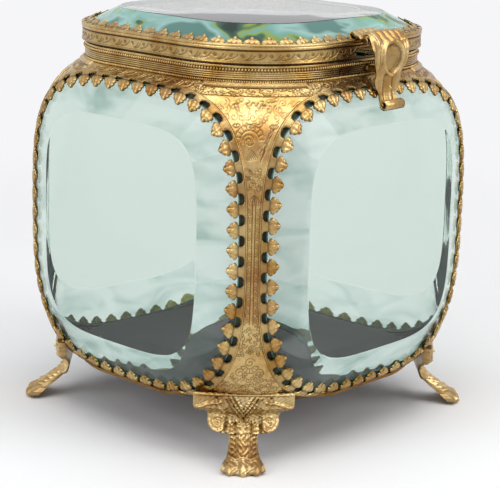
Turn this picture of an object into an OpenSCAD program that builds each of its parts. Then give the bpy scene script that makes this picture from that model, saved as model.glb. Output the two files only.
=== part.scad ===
// Keepsake casket: bevelled glass panels in a gilt stamped-brass frame on four splayed feet.
// Lengths are in millimetres and +Z is up. The clasp side faces -Y.
// The origin lies on the ground, midway between the four feet.

/* [Glass panels] */
// Half width of each side opening, measured at the mouths of the prong gaps
opening_half_width = 41.95; // [41:0.05:42.2]
// Half height of each side opening
opening_half_height = 42.45; // [41.5:0.05:43]
// Squareness of the upper opening corners
upper_fullness = 3.55; // [3.2:0.05:3.8]
// Squareness of the lower opening corners
lower_fullness = 3.14; // [2.9:0.02:3.4]
// Half width of the raised flat of a side glass
table_half_width = 30.8; // [28:0.2:33]
// Half height of the raised flat of a side glass
table_half_height = 32; // [29:0.5:34]
// How far the raised flat of a side glass stands from the centre
table_plane = 52.2; // [50:0.2:53]

/* [Prong galleries] */
// Prongs round each side opening
side_prongs = 52; // [44:1:58]
// Prongs round the lid
lid_prongs = 58; // [50:1:64]
// Sheet thickness of the prong plates
prong_sheet = 0.7; // [0.5:0.1:0.7]

/* [Lid] */
// Half width of the raised flat of the lid glass
lid_table_half = 33; // [30:0.5:35]
// Height of the raised flat of the lid glass above the ground
lid_table_height = 119; // [117.5:0.5:121]

/* [Clasp] */
// Sideways offset of the clasp from the middle of the front
clasp_offset = 1.8; // [-3:0.2:3]

/* [Hidden] */
$fn = 48;

// Heights of the seams between the stacked bands.
opening_centre = 59.4;
foot_top = 20.5;
post_bottom = 20.6;
post_top = 101.45;
collar_bottom = 101.5;
neck_bottom = 104.2;
neck_top = 109.1;
lid_bottom = 109.5;
lid_rim_top = 114;
board_bottom = 16.2;
board_thick = 1.4;
board_half = 43.2;
board_corner = 31.5;
pad_inset = 0.3;

// Planes of the side panels, as distances from the centre.
prong_back = 47.5;
glass_front = 47.45;
glass_back = 44.5;
rim_wall = 0.45;
rim_depth = 1.6;
fit = 0.05;

// Rounded squares of the neck and the lid, half width and corner radius.
neck_half = 42.4;
neck_corner = 28;
lid_half = 43;
lid_corner = 28;
sheet = 0.8;

// Stepped bead lines of the neck.
bead_height = 0.7;
bead_stand = 0.3;
upper_bead = 107.4;

// Lid hinge: barrel, pin and leaves on the back of the neck.
lid_axis_y = 45;
lid_axis_z = 109.25;
barrel_radius = 1.6;
lid_pin_radius = 0.8;
running_fit = 0.06;
knuckle_length = 5;
knuckle_gap = 0.3;
knuckle_count = 5;
hinge_width = knuckle_count * knuckle_length + (knuckle_count - 1) * knuckle_gap;

// Clasp hinge: a barrel between two lugs over the lid rim.
clasp_axis_y = -45.4;
clasp_axis_z = 114.3;
clasp_barrel_radius = 1.3;
clasp_pin_radius = 0.5;
clasp_barrel_half = 3.2;
lug_thickness = 1.4;
lug_radius = 1;
clasp_sheet = 0.9;
curl_radius = 1.45;
curl_bore = 0.85;

// Colours as the photograph shows them.
gilt = [0.72, 0.54, 0.26];
old_gilt = [0.6, 0.42, 0.2];
pale_glass = [0.72, 0.86, 0.83, 0.4];
dark_velvet = [0.12, 0.12, 0.13];
board_brown = [0.22, 0.17, 0.12];

// One point of a squarish oval; the upper and lower halves have their own fullness.
function bent(value, power) = sign(value) * pow(abs(value), 2 / power);
function oval_point(a, b, upper, lower, angle) =
    let (power = sin(angle) >= 0 ? upper : lower)
    [a * bent(cos(angle), power), b * bent(sin(angle), power)];
function oval(a, b, upper, lower, count) =
    [for (i = [0 : count - 1]) oval_point(a, b, upper, lower, 360 * i / count)];

// Half width of a side opening outline at a height, for an outline grown outward.
function outline_half(height, grow) =
    let (rise = (height - opening_centre) / (opening_half_height + grow))
    let (power = rise >= 0 ? upper_fullness : lower_fullness)
    (opening_half_width + grow) * pow(max(0, 1 - pow(abs(rise), power)), 1 / power);

// Rounded square as a point list, anticlockwise from the +X side.
function rounded(half, corner, steps) =
    [for (q = [0 : 3]) for (k = [0 : steps])
        let (centre = half - corner)
        let (turn = 90 * q + 90 * k / steps)
        let (side = 90 * q + 45)
        [centre * sqrt(2) * cos(side) + corner * cos(turn),
         centre * sqrt(2) * sin(side) + corner * sin(turn)]];

// Running length along a closed outline, then look-ups of place and direction on it.
function run_lengths(line) =
    [for (i = 0, run = 0; i <= len(line);
          run = run + norm(line[(i + 1) % len(line)] - line[i % len(line)]), i = i + 1) run];
function axis_table(line, runs, axis) =
    [for (i = [0 : len(line)]) [runs[i], line[i % len(line)][axis]]];
function wrap(value, total) = value - total * floor(value / total);

// Half outline of one prong: place along the strip and reach over the glass.
prong_half = [
    [0.95, 0.3], [0.82, 0.6], [1.2, 0.8], [1.6, 1.1], [1.68, 1.45], [1.45, 1.85],
    [0.95, 1.98], [0.72, 2.25], [0.66, 2.65], [0.4, 3.0]
];
prong_reach = 3.1;
prong_line = concat(
    [for (i = [0 : len(prong_half) - 1]) [-prong_half[i][0], prong_half[i][1]]],
    [[0, prong_reach]],
    [for (i = [len(prong_half) - 1 : -1 : 0]) prong_half[i]]);

// Strip with inward prongs spread evenly round a closed outline.
module comb(line, outer, prongs) {
    runs = run_lengths(line);
    total = runs[len(line)];
    pitch = total / prongs;
    tx = axis_table(line, runs, 0);
    ty = axis_table(line, runs, 1);
    probe = 0.4;
    teeth = [for (i = [0 : prongs - 1])
        let (at = (i + 0.5) * pitch)
        let (here = [lookup(at, tx), lookup(at, ty)])
        let (ahead = [lookup(wrap(at + probe, total), tx), lookup(wrap(at + probe, total), ty)])
        let (behind = [lookup(wrap(at - probe, total), tx), lookup(wrap(at - probe, total), ty)])
        let (along = (ahead - behind) / norm(ahead - behind))
        let (inward = [-along[1], along[0]])
        each concat(
            [[lookup(i * pitch, tx), lookup(i * pitch, ty)]],
            [for (p = prong_line) here + along * p[0] + inward * p[1]])];
    difference() {
        polygon(outer);
        polygon(teeth);
    }
}

// Faces of the walls between matching rings of points.
function ring_walls(count, levels) =
    [for (k = [0 : levels - 2]) for (i = [0 : count - 1])
        let (j = (i + 1) % count)
        each [[k * count + i, (k + 1) * count + i, (k + 1) * count + j],
              [k * count + i, (k + 1) * count + j, k * count + j]]];

// Solid skinned over matching convex rings, capped at both ends.
module lofted(rings) {
    count = len(rings[0]);
    levels = len(rings);
    polyhedron(
        points = [for (ring = rings) each ring],
        faces = concat(
            [[for (i = [0 : count - 1]) i]],
            [[for (i = [count - 1 : -1 : 0]) (levels - 1) * count + i]],
            ring_walls(count, levels)));
}

// Thin sheet skinned over rings that run along its front and return along its back; each cap
// is a strip of triangles between the front and the back.
module lofted_sheet(rings) {
    count = len(rings[0]);
    levels = len(rings);
    top = (levels - 1) * count;
    polyhedron(
        points = [for (ring = rings) each ring],
        faces = concat(
            [for (i = [0 : count / 2 - 2]) each [
                [i, i + 1, count - 2 - i],
                [i, count - 2 - i, count - 1 - i],
                [top + i + 1, top + i, top + count - 1 - i],
                [top + i + 1, top + count - 1 - i, top + count - 2 - i]]],
            ring_walls(count, levels)));
}

// Closed hoop skinned over matching rings, the last joined to the first.
module hoop(rings) {
    count = len(rings[0]);
    levels = len(rings);
    polyhedron(
        points = [for (ring = rings) each ring],
        faces = [for (k = [0 : levels - 1]) for (i = [0 : count - 1])
            let (j = (i + 1) % count)
            let (m = (k + 1) % levels)
            each [[k * count + i, m * count + i, m * count + j],
                  [k * count + i, m * count + j, k * count + j]]]);
}

// Flat rounded square with true arcs.
module rounded_square(half, corner) {
    square([2 * half, 2 * (half - corner)], center = true);
    square([2 * (half - corner), 2 * half], center = true);
    for (x = [-1, 1]) {
        for (y = [-1, 1]) {
            translate([x * (half - corner), y * (half - corner)]) circle(r = corner, $fn = 96);
        }
    }
}

// Upright band of rounded-square plan.
module band(half, corner, wall, bottom, top) {
    translate([0, 0, bottom])
    linear_extrude(height = top - bottom)
    difference() {
        rounded_square(half, corner);
        rounded_square(half - wall, corner - wall);
    }
}

// Turns a front piece to the side it belongs to.
module on_side(turn) {
    rotate([0, 0, turn]) children();
}

// Corner post: a thin stamped sheet between two openings, waisted at mid height, with a raised
// border along both edges and a swelling shoulder and foot.
post_plane = 47.2;
post_grow = 0.5;
post_rows = 40;
border_run = [0, 0.55, 1.1];
border_stand = [0, 0.35, 0];
field_steps = 6;
post_sheet = 1.13;
shoulder_swell = 4.7;
shoulder_reach = 4;
skirt_swell = 3.8;
skirt_reach = 13;
function swell(height) =
    shoulder_swell * pow(max(0, 1 - (post_top - height) / shoulder_reach), 2)
    + skirt_swell * pow(max(0, 1 - (height - post_bottom) / skirt_reach), 2);
function post_point(half, height, run, stand, inset) =
    let (chord = (post_plane - half) * sqrt(2))
    let (u = 2 * run / chord - 1)
    let (out = stand + swell(height) * (1 - u * u))
    [-post_plane + inset + (run * (1 - 2 * inset / chord * sqrt(2) / 2) - out) / sqrt(2),
     -half - (run * (1 - 2 * inset / chord * sqrt(2) / 2) + out) / sqrt(2),
     height];
function post_ring(height) =
    let (half = outline_half(height, post_grow))
    let (chord = (post_plane - half) * sqrt(2))
    let (last = len(border_run) - 1)
    let (field = chord - 2 * border_run[last])
    let (runs = concat(
        border_run,
        [for (i = [1 : field_steps - 1]) border_run[last] + field * i / field_steps],
        [for (i = [last : -1 : 0]) chord - border_run[i]]))
    let (stands = concat(
        border_stand,
        [for (i = [1 : field_steps - 1]) 0],
        [for (i = [last : -1 : 0]) border_stand[i]]))
    concat(
        [for (i = [0 : len(runs) - 1]) post_point(half, height, runs[i], stands[i], 0)],
        [for (i = [len(runs) - 1 : -1 : 0]) post_point(half, height, runs[i], 0, post_sheet)]);
module corner_post() {
    color(gilt)
    lofted_sheet([for (k = [0 : post_rows])
        post_ring(post_bottom + (post_top - post_bottom) * (1 + cos(180 * k / post_rows)) / 2)]);
}

// Prong gallery of one side: the toothed plate over the glass and the thin rim round its edge.
module side_gallery() {
    line = oval(opening_half_width, opening_half_height, upper_fullness, lower_fullness, 240);
    outer = oval(opening_half_width + rim_wall, opening_half_height + rim_wall,
        upper_fullness, lower_fullness, 120);
    inner = oval(opening_half_width, opening_half_height, upper_fullness, lower_fullness, 120);
    color(gilt)
    translate([0, -prong_back, opening_centre])
    rotate([90, 0, 0])
    union() {
        linear_extrude(height = prong_sheet) comb(line, outer, side_prongs);
        translate([0, 0, -(rim_depth - prong_sheet)])
        linear_extrude(height = rim_depth - prong_sheet)
        difference() {
            polygon(outer);
            polygon(inner);
        }
    }
}

// Side glass: flat margin under the prongs, long bevel, raised flat table.
module side_glass() {
    margin = prong_reach + 0.2;
    edge_gap = 0.1;
    count = 80;
    shapes = [
        [opening_half_width - edge_gap, opening_half_height - edge_gap,
         upper_fullness, lower_fullness, glass_back],
        [opening_half_width - edge_gap, opening_half_height - edge_gap,
         upper_fullness, lower_fullness, glass_front],
        [opening_half_width - margin, opening_half_height - margin,
         upper_fullness, lower_fullness, glass_front],
        [table_half_width, table_half_height, 4.57, 4.15, table_plane]
    ];
    table_lift = 0.6;
    lifts = [0, 0, 0, table_lift];
    color(pale_glass)
    lofted([for (k = [0 : 3])
        [for (p = oval(shapes[k][0], shapes[k][1], shapes[k][2], shapes[k][3], count))
            [p[0], -shapes[k][4], opening_centre + lifts[k] + p[1]]]]);
}

// Shoulder collar: engraved flange rising from the tops of the panels to the neck.
module shoulder_collar() {
    steps = 16;
    lip = rounded(41.6, 27.2, steps);
    seat = rounded(42.9, 28.5, steps);
    edge = rounded(47.4, 36, steps);
    function edge_height(p) = max(collar_bottom,
        opening_centre + (opening_half_height + rim_wall + fit)
        * pow(max(0, 1 - pow(min(abs(p[0]), abs(p[1])) / (opening_half_width + rim_wall),
            upper_fullness)), 1 / upper_fullness));
    color(gilt)
    hoop([
        [for (p = lip) [p[0], p[1], neck_bottom - sheet]],
        [for (p = edge) [p[0], p[1], edge_height(p)]],
        [for (p = edge) [p[0], p[1], edge_height(p) + sheet * 0.8]],
        [for (p = seat) [p[0], p[1], neck_bottom]],
        [for (p = lip) [p[0], p[1], neck_bottom]]
    ]);
}

// Neck band: reeded upright band with a bead line near each edge.
module neck_band() {
    color(gilt)
    union() {
        band(neck_half, neck_corner, 1, neck_bottom, neck_top);
        band(neck_half + bead_stand, neck_corner + bead_stand, 1, neck_bottom,
            neck_bottom + bead_height);
        band(neck_half + bead_stand, neck_corner + bead_stand, 1, upper_bead,
            upper_bead + bead_height);
    }
}

// Base rim: dished flange that closes the frame under the panels and rises at the corners.
module base_rim() {
    steps = 16;
    inner_half = 42;
    inner_corner = 23.9;
    outer_half = 47.4;
    outer_corner = 34.5;
    flange_low = 15.2;
    drop = 0.35;
    function edge_height(p) =
        let (reach = min(abs(p[0]), abs(p[1])))
        let (fold = opening_centre - (opening_half_height + rim_wall)
            * pow(max(0, 1 - pow(reach / (opening_half_width + rim_wall), lower_fullness)),
                1 / lower_fullness))
        min(fold, foot_top - drop) - drop;
    outer = rounded(outer_half, outer_corner, steps);
    inner = rounded(inner_half, inner_corner, steps);
    color(old_gilt)
    hoop([
        [for (p = inner) [p[0], p[1], flange_low]],
        [for (p = outer) [p[0], p[1], edge_height(p) - sheet]],
        [for (p = outer) [p[0], p[1], edge_height(p)]],
        [for (p = inner) [p[0], p[1], flange_low + sheet]]
    ]);
}

// Base board carried inside the rim.
module base_board() {
    color(board_brown)
    translate([0, 0, board_bottom])
    linear_extrude(height = board_thick)
    rounded_square(board_half, board_corner);
}

// Velvet pad lying on the base board.
module floor_pad() {
    color(dark_velvet)
    translate([0, 0, board_bottom + board_thick])
    linear_extrude(height = 1)
    rounded_square(board_half - pad_inset, board_corner - pad_inset);
}

// Cast foot: top plate, scrolled shoulders, ankle and three claws, splayed along the diagonal.
foot_side = [
    [53.4, 20.5], [57, 20.5], [56.9, 16.4], [55.9, 14.6], [54.7, 13.6], [54.5, 12.2],
    [55.3, 10.4], [57.1, 8.5], [59.6, 6.5], [62, 4.8], [64.4, 3.2], [66.2, 2.2], [67, 1],
    [66.6, 0], [62.8, 0], [61.9, 1.5], [59.6, 3.4], [57, 5.4], [54.5, 7.7], [52.9, 10.2],
    [52.4, 12.4], [52.8, 15]
];
// The foot nearest the clasp's left side was soldered a little off the corner line.
near_foot_slide = -1.2;
scroll_centre = [7.15, 11.5];
scroll_radius = 2.75;
foot_half = concat(
    [[13.9, 20.5], [13.9, 16.4], [13.5, 15.6], [12.7, 15.1], [10.8, 14.6], [10, 13.8]],
    [for (turn = [30 : -20 : -150])
        scroll_centre + scroll_radius * [cos(turn), sin(turn)]],
    [[4.5, 9.4], [4.2, 8.4], [4.05, 7.4], [4, 6.2], [4.2, 4.8], [4.8, 3.2], [5.8, 2.1],
     [6.1, 1.2], [5.3, 0.5], [4, 0]]);
module foot_front() {
    polygon(concat(foot_half, [for (i = [len(foot_half) - 1 : -1 : 0])
        [-foot_half[i][0], foot_half[i][1]]]));
}
module foot(slide) {
    color(gilt)
    rotate([0, 0, -45])
    intersection() {
        translate([slide, -50, 0])
        rotate([90, 0, 0])
        linear_extrude(height = 20) foot_front();
        rotate([90, 0, -90])
        linear_extrude(height = 30, center = true)
        polygon(foot_side);
    }
}

// Lid band: upright skirt, sunk line, rim and the inner ledge that carries the glass.
module lid_band() {
    line_low = 112.7;
    line_high = 113.2;
    ledge_low = 111.6;
    ledge_high = 112.4;
    notch_half = 5.6;
    color(gilt)
    difference() {
        union() {
            band(lid_half, lid_corner, sheet, lid_bottom, lid_rim_top);
            band(lid_half + 0.15, lid_corner + 0.15, sheet, line_high, lid_rim_top);
            band(lid_half - 0.5, lid_corner - 0.5, 2.6, ledge_low, ledge_high);
        }
        translate([0, 0, line_low])
        linear_extrude(height = line_high - line_low)
        difference() {
            rounded_square(lid_half + 1, lid_corner + 1);
            rounded_square(lid_half - 0.3, lid_corner - 0.3);
        }
        translate([clasp_offset - notch_half, -lid_half - 1, lid_bottom - 1])
        cube([2 * notch_half, 1 + sheet + 0.1, 4]);
    }
}

// Lid glass: plate on the ledge with a bevel up to the raised flat.
module lid_glass() {
    seat = 112.45;
    edge_top = 113.95;
    steps = 12;
    rows = [
        [42.1, 27.1, seat],
        [42.1, 27.1, edge_top],
        [38.9, 25.5, edge_top],
        [lid_table_half, 20, lid_table_height]
    ];
    color(pale_glass)
    lofted([for (r = rows) [for (p = rounded(r[0], r[1], steps)) [p[0], p[1], r[2]]]]);
}

// Prong gallery of the lid, laid on the rim.
module lid_prong_gallery() {
    steps = 24;
    color(gilt)
    translate([0, 0, lid_rim_top])
    linear_extrude(height = prong_sheet)
    comb(rounded(42.3, 27.3, steps), rounded(43.2, 28.2, steps), lid_prongs);
}

// Hinge knuckle at one place along the lid hinge, with the web that ties it to its leaf.
module knuckle(index, up) {
    start = -hinge_width / 2 + index * (knuckle_length + knuckle_gap);
    translate([start, lid_axis_y, lid_axis_z])
    rotate([0, 90, 0])
    cylinder(r = barrel_radius, h = knuckle_length);
    web_low = up ? lid_axis_z : lid_axis_z - 1.65;
    web_back = up ? 43.2 : 42.75;
    translate([start, web_back, web_low])
    cube([knuckle_length, lid_axis_y - web_back, 1.65]);
}
module hinge_bore(clearance) {
    translate([-hinge_width / 2 - 1, lid_axis_y, lid_axis_z])
    rotate([0, 90, 0])
    cylinder(r = lid_pin_radius + clearance, h = hinge_width + 2);
}

// Hinge leaf soldered to the back of the neck, with the three outer knuckles.
module hinge_leaf_neck() {
    color(old_gilt)
    difference() {
        union() {
            translate([-hinge_width / 2, 42.75, 104.3]) cube([hinge_width, 0.8, 3.3]);
            for (i = [0, 2, 4]) {
                knuckle(i, false);
            }
        }
        hinge_bore(0);
    }
}

// Hinge leaf soldered to the back of the lid, with the two inner knuckles.
module hinge_leaf_lid() {
    color(old_gilt)
    difference() {
        union() {
            translate([-hinge_width / 2, 43.2, 110.85]) cube([hinge_width, 0.8, 2.2]);
            for (i = [1, 3]) {
                knuckle(i, true);
            }
        }
        hinge_bore(running_fit);
    }
}

// Hinge pin of the lid.
module hinge_pin() {
    color(old_gilt)
    translate([-hinge_width / 2, lid_axis_y, lid_axis_z])
    rotate([0, 90, 0])
    cylinder(r = lid_pin_radius, h = hinge_width);
}

// Catch stud standing out of the neck behind the clasp.
module catch_stud() {
    stud_height = 106.2;
    color(gilt)
    translate([clasp_offset, -neck_half - 0.05, stud_height])
    rotate([90, 0, 0])
    rotate_extrude()
    polygon([[0, 0], [1.1, 0], [1.1, 0.6], [0.9, 1], [0.9, 4.6], [1.5, 5.2], [1.6, 5.8],
        [1.2, 6.4], [0, 6.6]]);
}

// Clasp bracket: leaf over the lid prongs with two lugs that hold the clasp pin.
module clasp_bracket() {
    leaf_low = lid_rim_top + prong_sheet;
    lug_inner = clasp_barrel_half + 0.3;
    color(gilt)
    translate([clasp_offset, 0, 0])
    difference() {
        union() {
            translate([-7, -43.2, leaf_low]) cube([14, 3, 0.8]);
            for (x = [-1, 1]) {
                translate([x * (lug_inner + lug_thickness / 2), 0, 0])
                union() {
                    translate([-lug_thickness / 2, clasp_axis_y, clasp_axis_z])
                    rotate([0, 90, 0])
                    cylinder(r = lug_radius, h = lug_thickness);
                    translate([-lug_thickness / 2, clasp_axis_y, clasp_axis_z - lug_radius])
                    cube([lug_thickness, 2.15, lug_radius + 1]);
                    translate([-lug_thickness / 2, clasp_axis_y + 1.5, leaf_low + 0.05])
                    cube([lug_thickness, 1, 0.65]);
                }
            }
        }
        translate([-9, clasp_axis_y, clasp_axis_z])
        rotate([0, 90, 0])
        cylinder(r = clasp_pin_radius, h = 18);
    }
}

// Clasp pin through the lugs and the clasp barrel.
module clasp_pin() {
    half = clasp_barrel_half + 0.3 + lug_thickness;
    color(old_gilt)
    translate([clasp_offset - half, clasp_axis_y, clasp_axis_z])
    rotate([0, 90, 0])
    cylinder(r = clasp_pin_radius, h = 2 * half);
}

// Clasp: cartouche that bulges clear of the neck, with a raised border and a pear-shaped
// medallion rim, and a tail rolled forward into a curl.
clasp_line = [
    [45.9, 116.1], [46.8, 116.45], [47.9, 116.4], [48.9, 115.8], [49.8, 114.9], [50.5, 113.7],
    [50.95, 112.3], [51.1, 110.8], [51, 109.4], [50.8, 108], [50.5, 106.7], [50.2, 105.4],
    [49.95, 104.1], [49.85, 102.9], [49.85, 101.7], [49.95, 100.5], [50.2, 99.3], [50.55, 98.1],
    [50.95, 97]
];
clasp_outline = [
    [5.6, 118], [6.6, 116.6], [7.5, 115.6], [7.95, 114.2], [7.9, 112.8], [7.3, 111.6],
    [7.2, 110.4], [7, 109], [6.3, 107.6], [5.6, 106.4], [5.2, 105.2], [5.4, 104], [5.2, 102.8],
    [4.6, 101.7], [3.9, 100.8], [3.6, 99.8], [3.6, 98.4], [3.7, 96]
];
clasp_border = 0.9;
curl_centre = [51.9, 97.3];
function line_normal(line, i) =
    let (along = line[min(i + 1, len(line) - 1)] - line[max(i - 1, 0)])
    [-along[1], along[0]] / norm(along);
module clasp_shell(back, front) {
    last = len(clasp_line) - 1;
    rotate([90, 0, -90])
    linear_extrude(height = 20, center = true)
    polygon(concat(
        [for (i = [0 : last]) clasp_line[i] + line_normal(clasp_line, i) * front],
        [for (i = [last : -1 : 0]) clasp_line[i] + line_normal(clasp_line, i) * back]));
}
module clasp_front(inset) {
    last = len(clasp_outline) - 1;
    polygon(concat(
        [for (i = [0 : last]) [clasp_outline[i][0] - inset, clasp_outline[i][1]]],
        [for (i = [last : -1 : 0]) [inset - clasp_outline[i][0], clasp_outline[i][1]]]));
}
module pear(grow) {
    polygon([for (turn = [0 : 15 : 345])
        let (wide = 3.5 + 0.9 * sin(turn))
        [(wide + grow) * cos(turn), 109.6 + (4.1 + grow) * sin(turn)]]);
}
module clasp() {
    relief = 0.4;
    curl_half = 3.9;
    web_top = 1.6;
    color(gilt)
    translate([clasp_offset, 0, 0])
    difference() {
        union() {
            intersection() {
                clasp_shell(-clasp_sheet / 2, clasp_sheet / 2);
                translate([0, -40, 0])
                rotate([90, 0, 0])
                linear_extrude(height = 20) clasp_front(0);
            }
            intersection() {
                clasp_shell(0, clasp_sheet / 2 + relief);
                translate([0, -40, 0])
                rotate([90, 0, 0])
                linear_extrude(height = 20)
                union() {
                    difference() {
                        clasp_front(0.15);
                        clasp_front(0.15 + clasp_border);
                    }
                    difference() {
                        pear(0.9);
                        pear(0);
                    }
                }
            }
            translate([-curl_half, -curl_centre[0], curl_centre[1]])
            rotate([0, 90, 0])
            cylinder(r = curl_radius, h = 2 * curl_half);
            translate([-clasp_barrel_half, clasp_axis_y, clasp_axis_z])
            rotate([0, 90, 0])
            cylinder(r = clasp_barrel_radius, h = 2 * clasp_barrel_half);
            translate([-clasp_barrel_half, clasp_axis_y - 1.5, clasp_axis_z])
            cube([2 * clasp_barrel_half, 0.9, web_top]);
        }
        translate([-curl_half - 1, -curl_centre[0], curl_centre[1]])
        rotate([0, 90, 0])
        cylinder(r = curl_bore, h = 2 * curl_half + 2);
        translate([-clasp_barrel_half - 1, clasp_axis_y, clasp_axis_z])
        rotate([0, 90, 0])
        cylinder(r = clasp_pin_radius + running_fit, h = 2 * clasp_barrel_half + 2);
    }
}

on_side(0) corner_post();  // corner_post_front_left
on_side(90) corner_post();  // corner_post_front_right
on_side(180) corner_post();  // corner_post_back_right
on_side(270) corner_post();  // corner_post_back_left
on_side(0) side_gallery();  // prong_gallery_front
on_side(90) side_gallery();  // prong_gallery_right
on_side(180) side_gallery();  // prong_gallery_back
on_side(270) side_gallery();  // prong_gallery_left
on_side(0) side_glass();  // glass_front
on_side(90) side_glass();  // glass_right
on_side(180) side_glass();  // glass_back
on_side(270) side_glass();  // glass_left
shoulder_collar();
neck_band();
base_rim();
base_board();
floor_pad();
on_side(0) foot(near_foot_slide);  // foot_front_left
on_side(90) foot(0);  // foot_front_right
on_side(180) foot(0);  // foot_back_right
on_side(270) foot(0);  // foot_back_left
hinge_leaf_neck();
hinge_pin();
catch_stud();
lid_band();
lid_prong_gallery();
lid_glass();
hinge_leaf_lid();
clasp_bracket();
clasp_pin();
clasp();
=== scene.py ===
"""Dresses the glass keepsake casket: stamped gilt frame, bevelled panes, feet and clasp."""

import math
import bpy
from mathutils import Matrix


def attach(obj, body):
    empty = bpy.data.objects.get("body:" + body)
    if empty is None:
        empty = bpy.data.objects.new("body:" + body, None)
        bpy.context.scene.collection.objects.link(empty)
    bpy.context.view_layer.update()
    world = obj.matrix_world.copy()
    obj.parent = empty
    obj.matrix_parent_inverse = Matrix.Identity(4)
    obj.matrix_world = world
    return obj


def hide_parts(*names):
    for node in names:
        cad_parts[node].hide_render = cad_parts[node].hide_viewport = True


bl_info = {
    "name": "Glass Keepsake Casket",
    "version": (1, 0, 0),
    "blender": (4, 5, 0),
    "location": "3D View > Sidebar > Casket",
    "description": "Builds the detailed pieces of a bevelled glass casket over its solid frame",
    "category": "Object",
}

import bpy
import numpy as np
from mathutils import Matrix, Vector

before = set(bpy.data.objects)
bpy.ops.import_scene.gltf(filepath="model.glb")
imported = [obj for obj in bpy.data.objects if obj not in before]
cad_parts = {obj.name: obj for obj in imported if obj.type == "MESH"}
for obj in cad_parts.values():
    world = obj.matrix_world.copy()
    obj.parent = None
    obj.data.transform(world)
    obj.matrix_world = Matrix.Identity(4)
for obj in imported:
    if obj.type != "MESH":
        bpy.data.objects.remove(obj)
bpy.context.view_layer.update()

MM = 0.001

# Measures shared with the solids, in millimetres.
# Half width and half height of a pane's opening, and its powers above and below the middle.
OPENING = dict(wide=41.95, tall=42.45, upper=3.55, lower=3.14)
OPENING_CENTRE = 59.4
# Plane in which the galleries fold, their lean over the glass and the softness of the fold.
FOLD = dict(plane=47.55, lean=math.radians(23), hinge=0.5)
SIDE_PRONGS = 52
LID_PRONGS = 58
# Corner posts: their edges' plane, how far they outgrow the opening, and their swells.
POST = dict(plane=47.2, grow=0.5, low=20.6, high=101.45, shoulder=4.7, shoulder_reach=4.0,
            skirt=3.8, skirt_reach=13.0, margin=1.25, crown=0.08, thick=0.9)
# Half width and corner radius of the neck's seat and of the frame's upper edge.
COLLAR = dict(seat=(42.9, 28.5), edge=(47.4, 36.0), foot=101.5, dip=0.9, tall=4.6)
NECK = dict(half=42.4, corner=28.0, low=104.2)
LID = dict(half=43.0, corner=28.0, low=109.5, seam=112.45, high=114.0)
LID_GALLERY = dict(half=42.6, corner=27.6, seat=114.25, climb=0.53)
# Where the clasp stands along the front, and half the gap in the lid's skirt behind it.
CLASP_X = 1.8
CLASP_GAP = 5.6
SIDES = {"front": 0, "right": 90, "back": 180, "left": 270}
CORNERS = {"front_left": 0, "front_right": 90, "back_right": 180, "back_left": 270}
KEPT_NODES = ("base_rim", "base_board", "hinge_leaf_neck", "hinge_leaf_lid", "hinge_pin",
              "catch_stud", "clasp_pin")

# The stage: metres and watts, but for the camera's place, which is in millimetres.
GROUND_RADIUS = 6
LAMPS = (("overhead_softbox", (-0.1, -0.15, 0.9), 0.9, 6.0, (1.0, 0.98, 0.95)),
         ("front_softbox", (0.35, -0.95, 0.55), 0.6, 3.5, (1.0, 0.99, 0.97)),
         ("side_softbox", (-0.95, 0.1, 0.5), 0.6, 3.0, (0.96, 0.98, 1.0)))
CAMERA = dict(place=(-355.23, -336.69, 171.91), look=(0.70366, 0.66694, -0.24505), roll=1.40,
              lens=120.9, shift=0.0066)


def srgb(code):
    """Turn a hex sRGB colour into linear light."""
    parts = [int(code[i:i + 2], 16) / 255 for i in (1, 3, 5)]
    linear = [p / 12.92 if p <= 0.04045 else ((p + 0.055) / 1.055) ** 2.4 for p in parts]
    return (*linear, 1.0)


# Settings

def length_setting(name, description, default, low, high):
    """Property for a length that is given here in millimetres."""
    return bpy.props.FloatProperty(name=name, description=description, default=default * MM,
                                   min=low * MM, max=high * MM, unit="LENGTH")


def colour_setting(name, description, code):
    """Property for a colour that is given here as a hex code."""
    return bpy.props.FloatVectorProperty(name=name, description=description,
                                         default=srgb(code), size=4, min=0, max=1,
                                         subtype="COLOR")


class CasketSizes(bpy.types.PropertyGroup):
    """Sizes of the worked detail."""
    engraving: length_setting(
        "Engraving depth", "Depth of the incised lines on the stamped sheet", 0.16, 0.0, 0.5)
    engraved_line: length_setting(
        "Engraved line", "Half width of an incised line", 0.13, 0.1, 0.6)
    prong_relief: length_setting(
        "Prong relief", "Height of the bosses on each prong head", 0.38, 0.0, 0.8)
    fine_bead: length_setting(
        "Fine bead pitch", "Spacing of the lower bead line of the neck", 0.62, 0.4, 1.5)
    rope_bead: length_setting(
        "Rope bead pitch", "Spacing of the upper bead line of the neck", 0.86, 0.5, 2.0)
    scroll_pitch: length_setting(
        "Scroll pitch", "Length of one repeat of the engraved running scroll", 7.5, 4.0, 12.0)


class CasketColours(bpy.types.PropertyGroup):
    """Colours of the casket and its ground."""
    gilt_light: colour_setting("Rubbed gilt", "High spots of the gilding", "#d8bf86")
    gilt_mid: colour_setting("Gilt", "Main colour of the gilding", "#a37b3c")
    # This colour also paints the shade in recesses, gaps and on the backs of sheets.
    gilt_deep: colour_setting("Tarnish", "Brown tarnish in the recesses", "#38210c")
    copper: colour_setting(
        "Worn copper tone", "Reddish patches where the gilding has thinned", "#9a6a42")
    glass: colour_setting("Glass", "Faint green of the plate glass", "#ecf5f0")
    velvet: colour_setting("Velvet", "Pile colour of the floor pad", "#111214")
    board: colour_setting("Board", "Stained base board", "#3a2a1c")
    ground: colour_setting("Ground", "Paper under and behind the casket", "#f6f6f8")


def detail(name):
    """One size of the worked detail, in millimetres."""
    return getattr(bpy.context.scene.casket_sizes, name) / MM


def colours():
    """The colour settings."""
    return bpy.context.scene.casket_colours


# Mesh building

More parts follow.
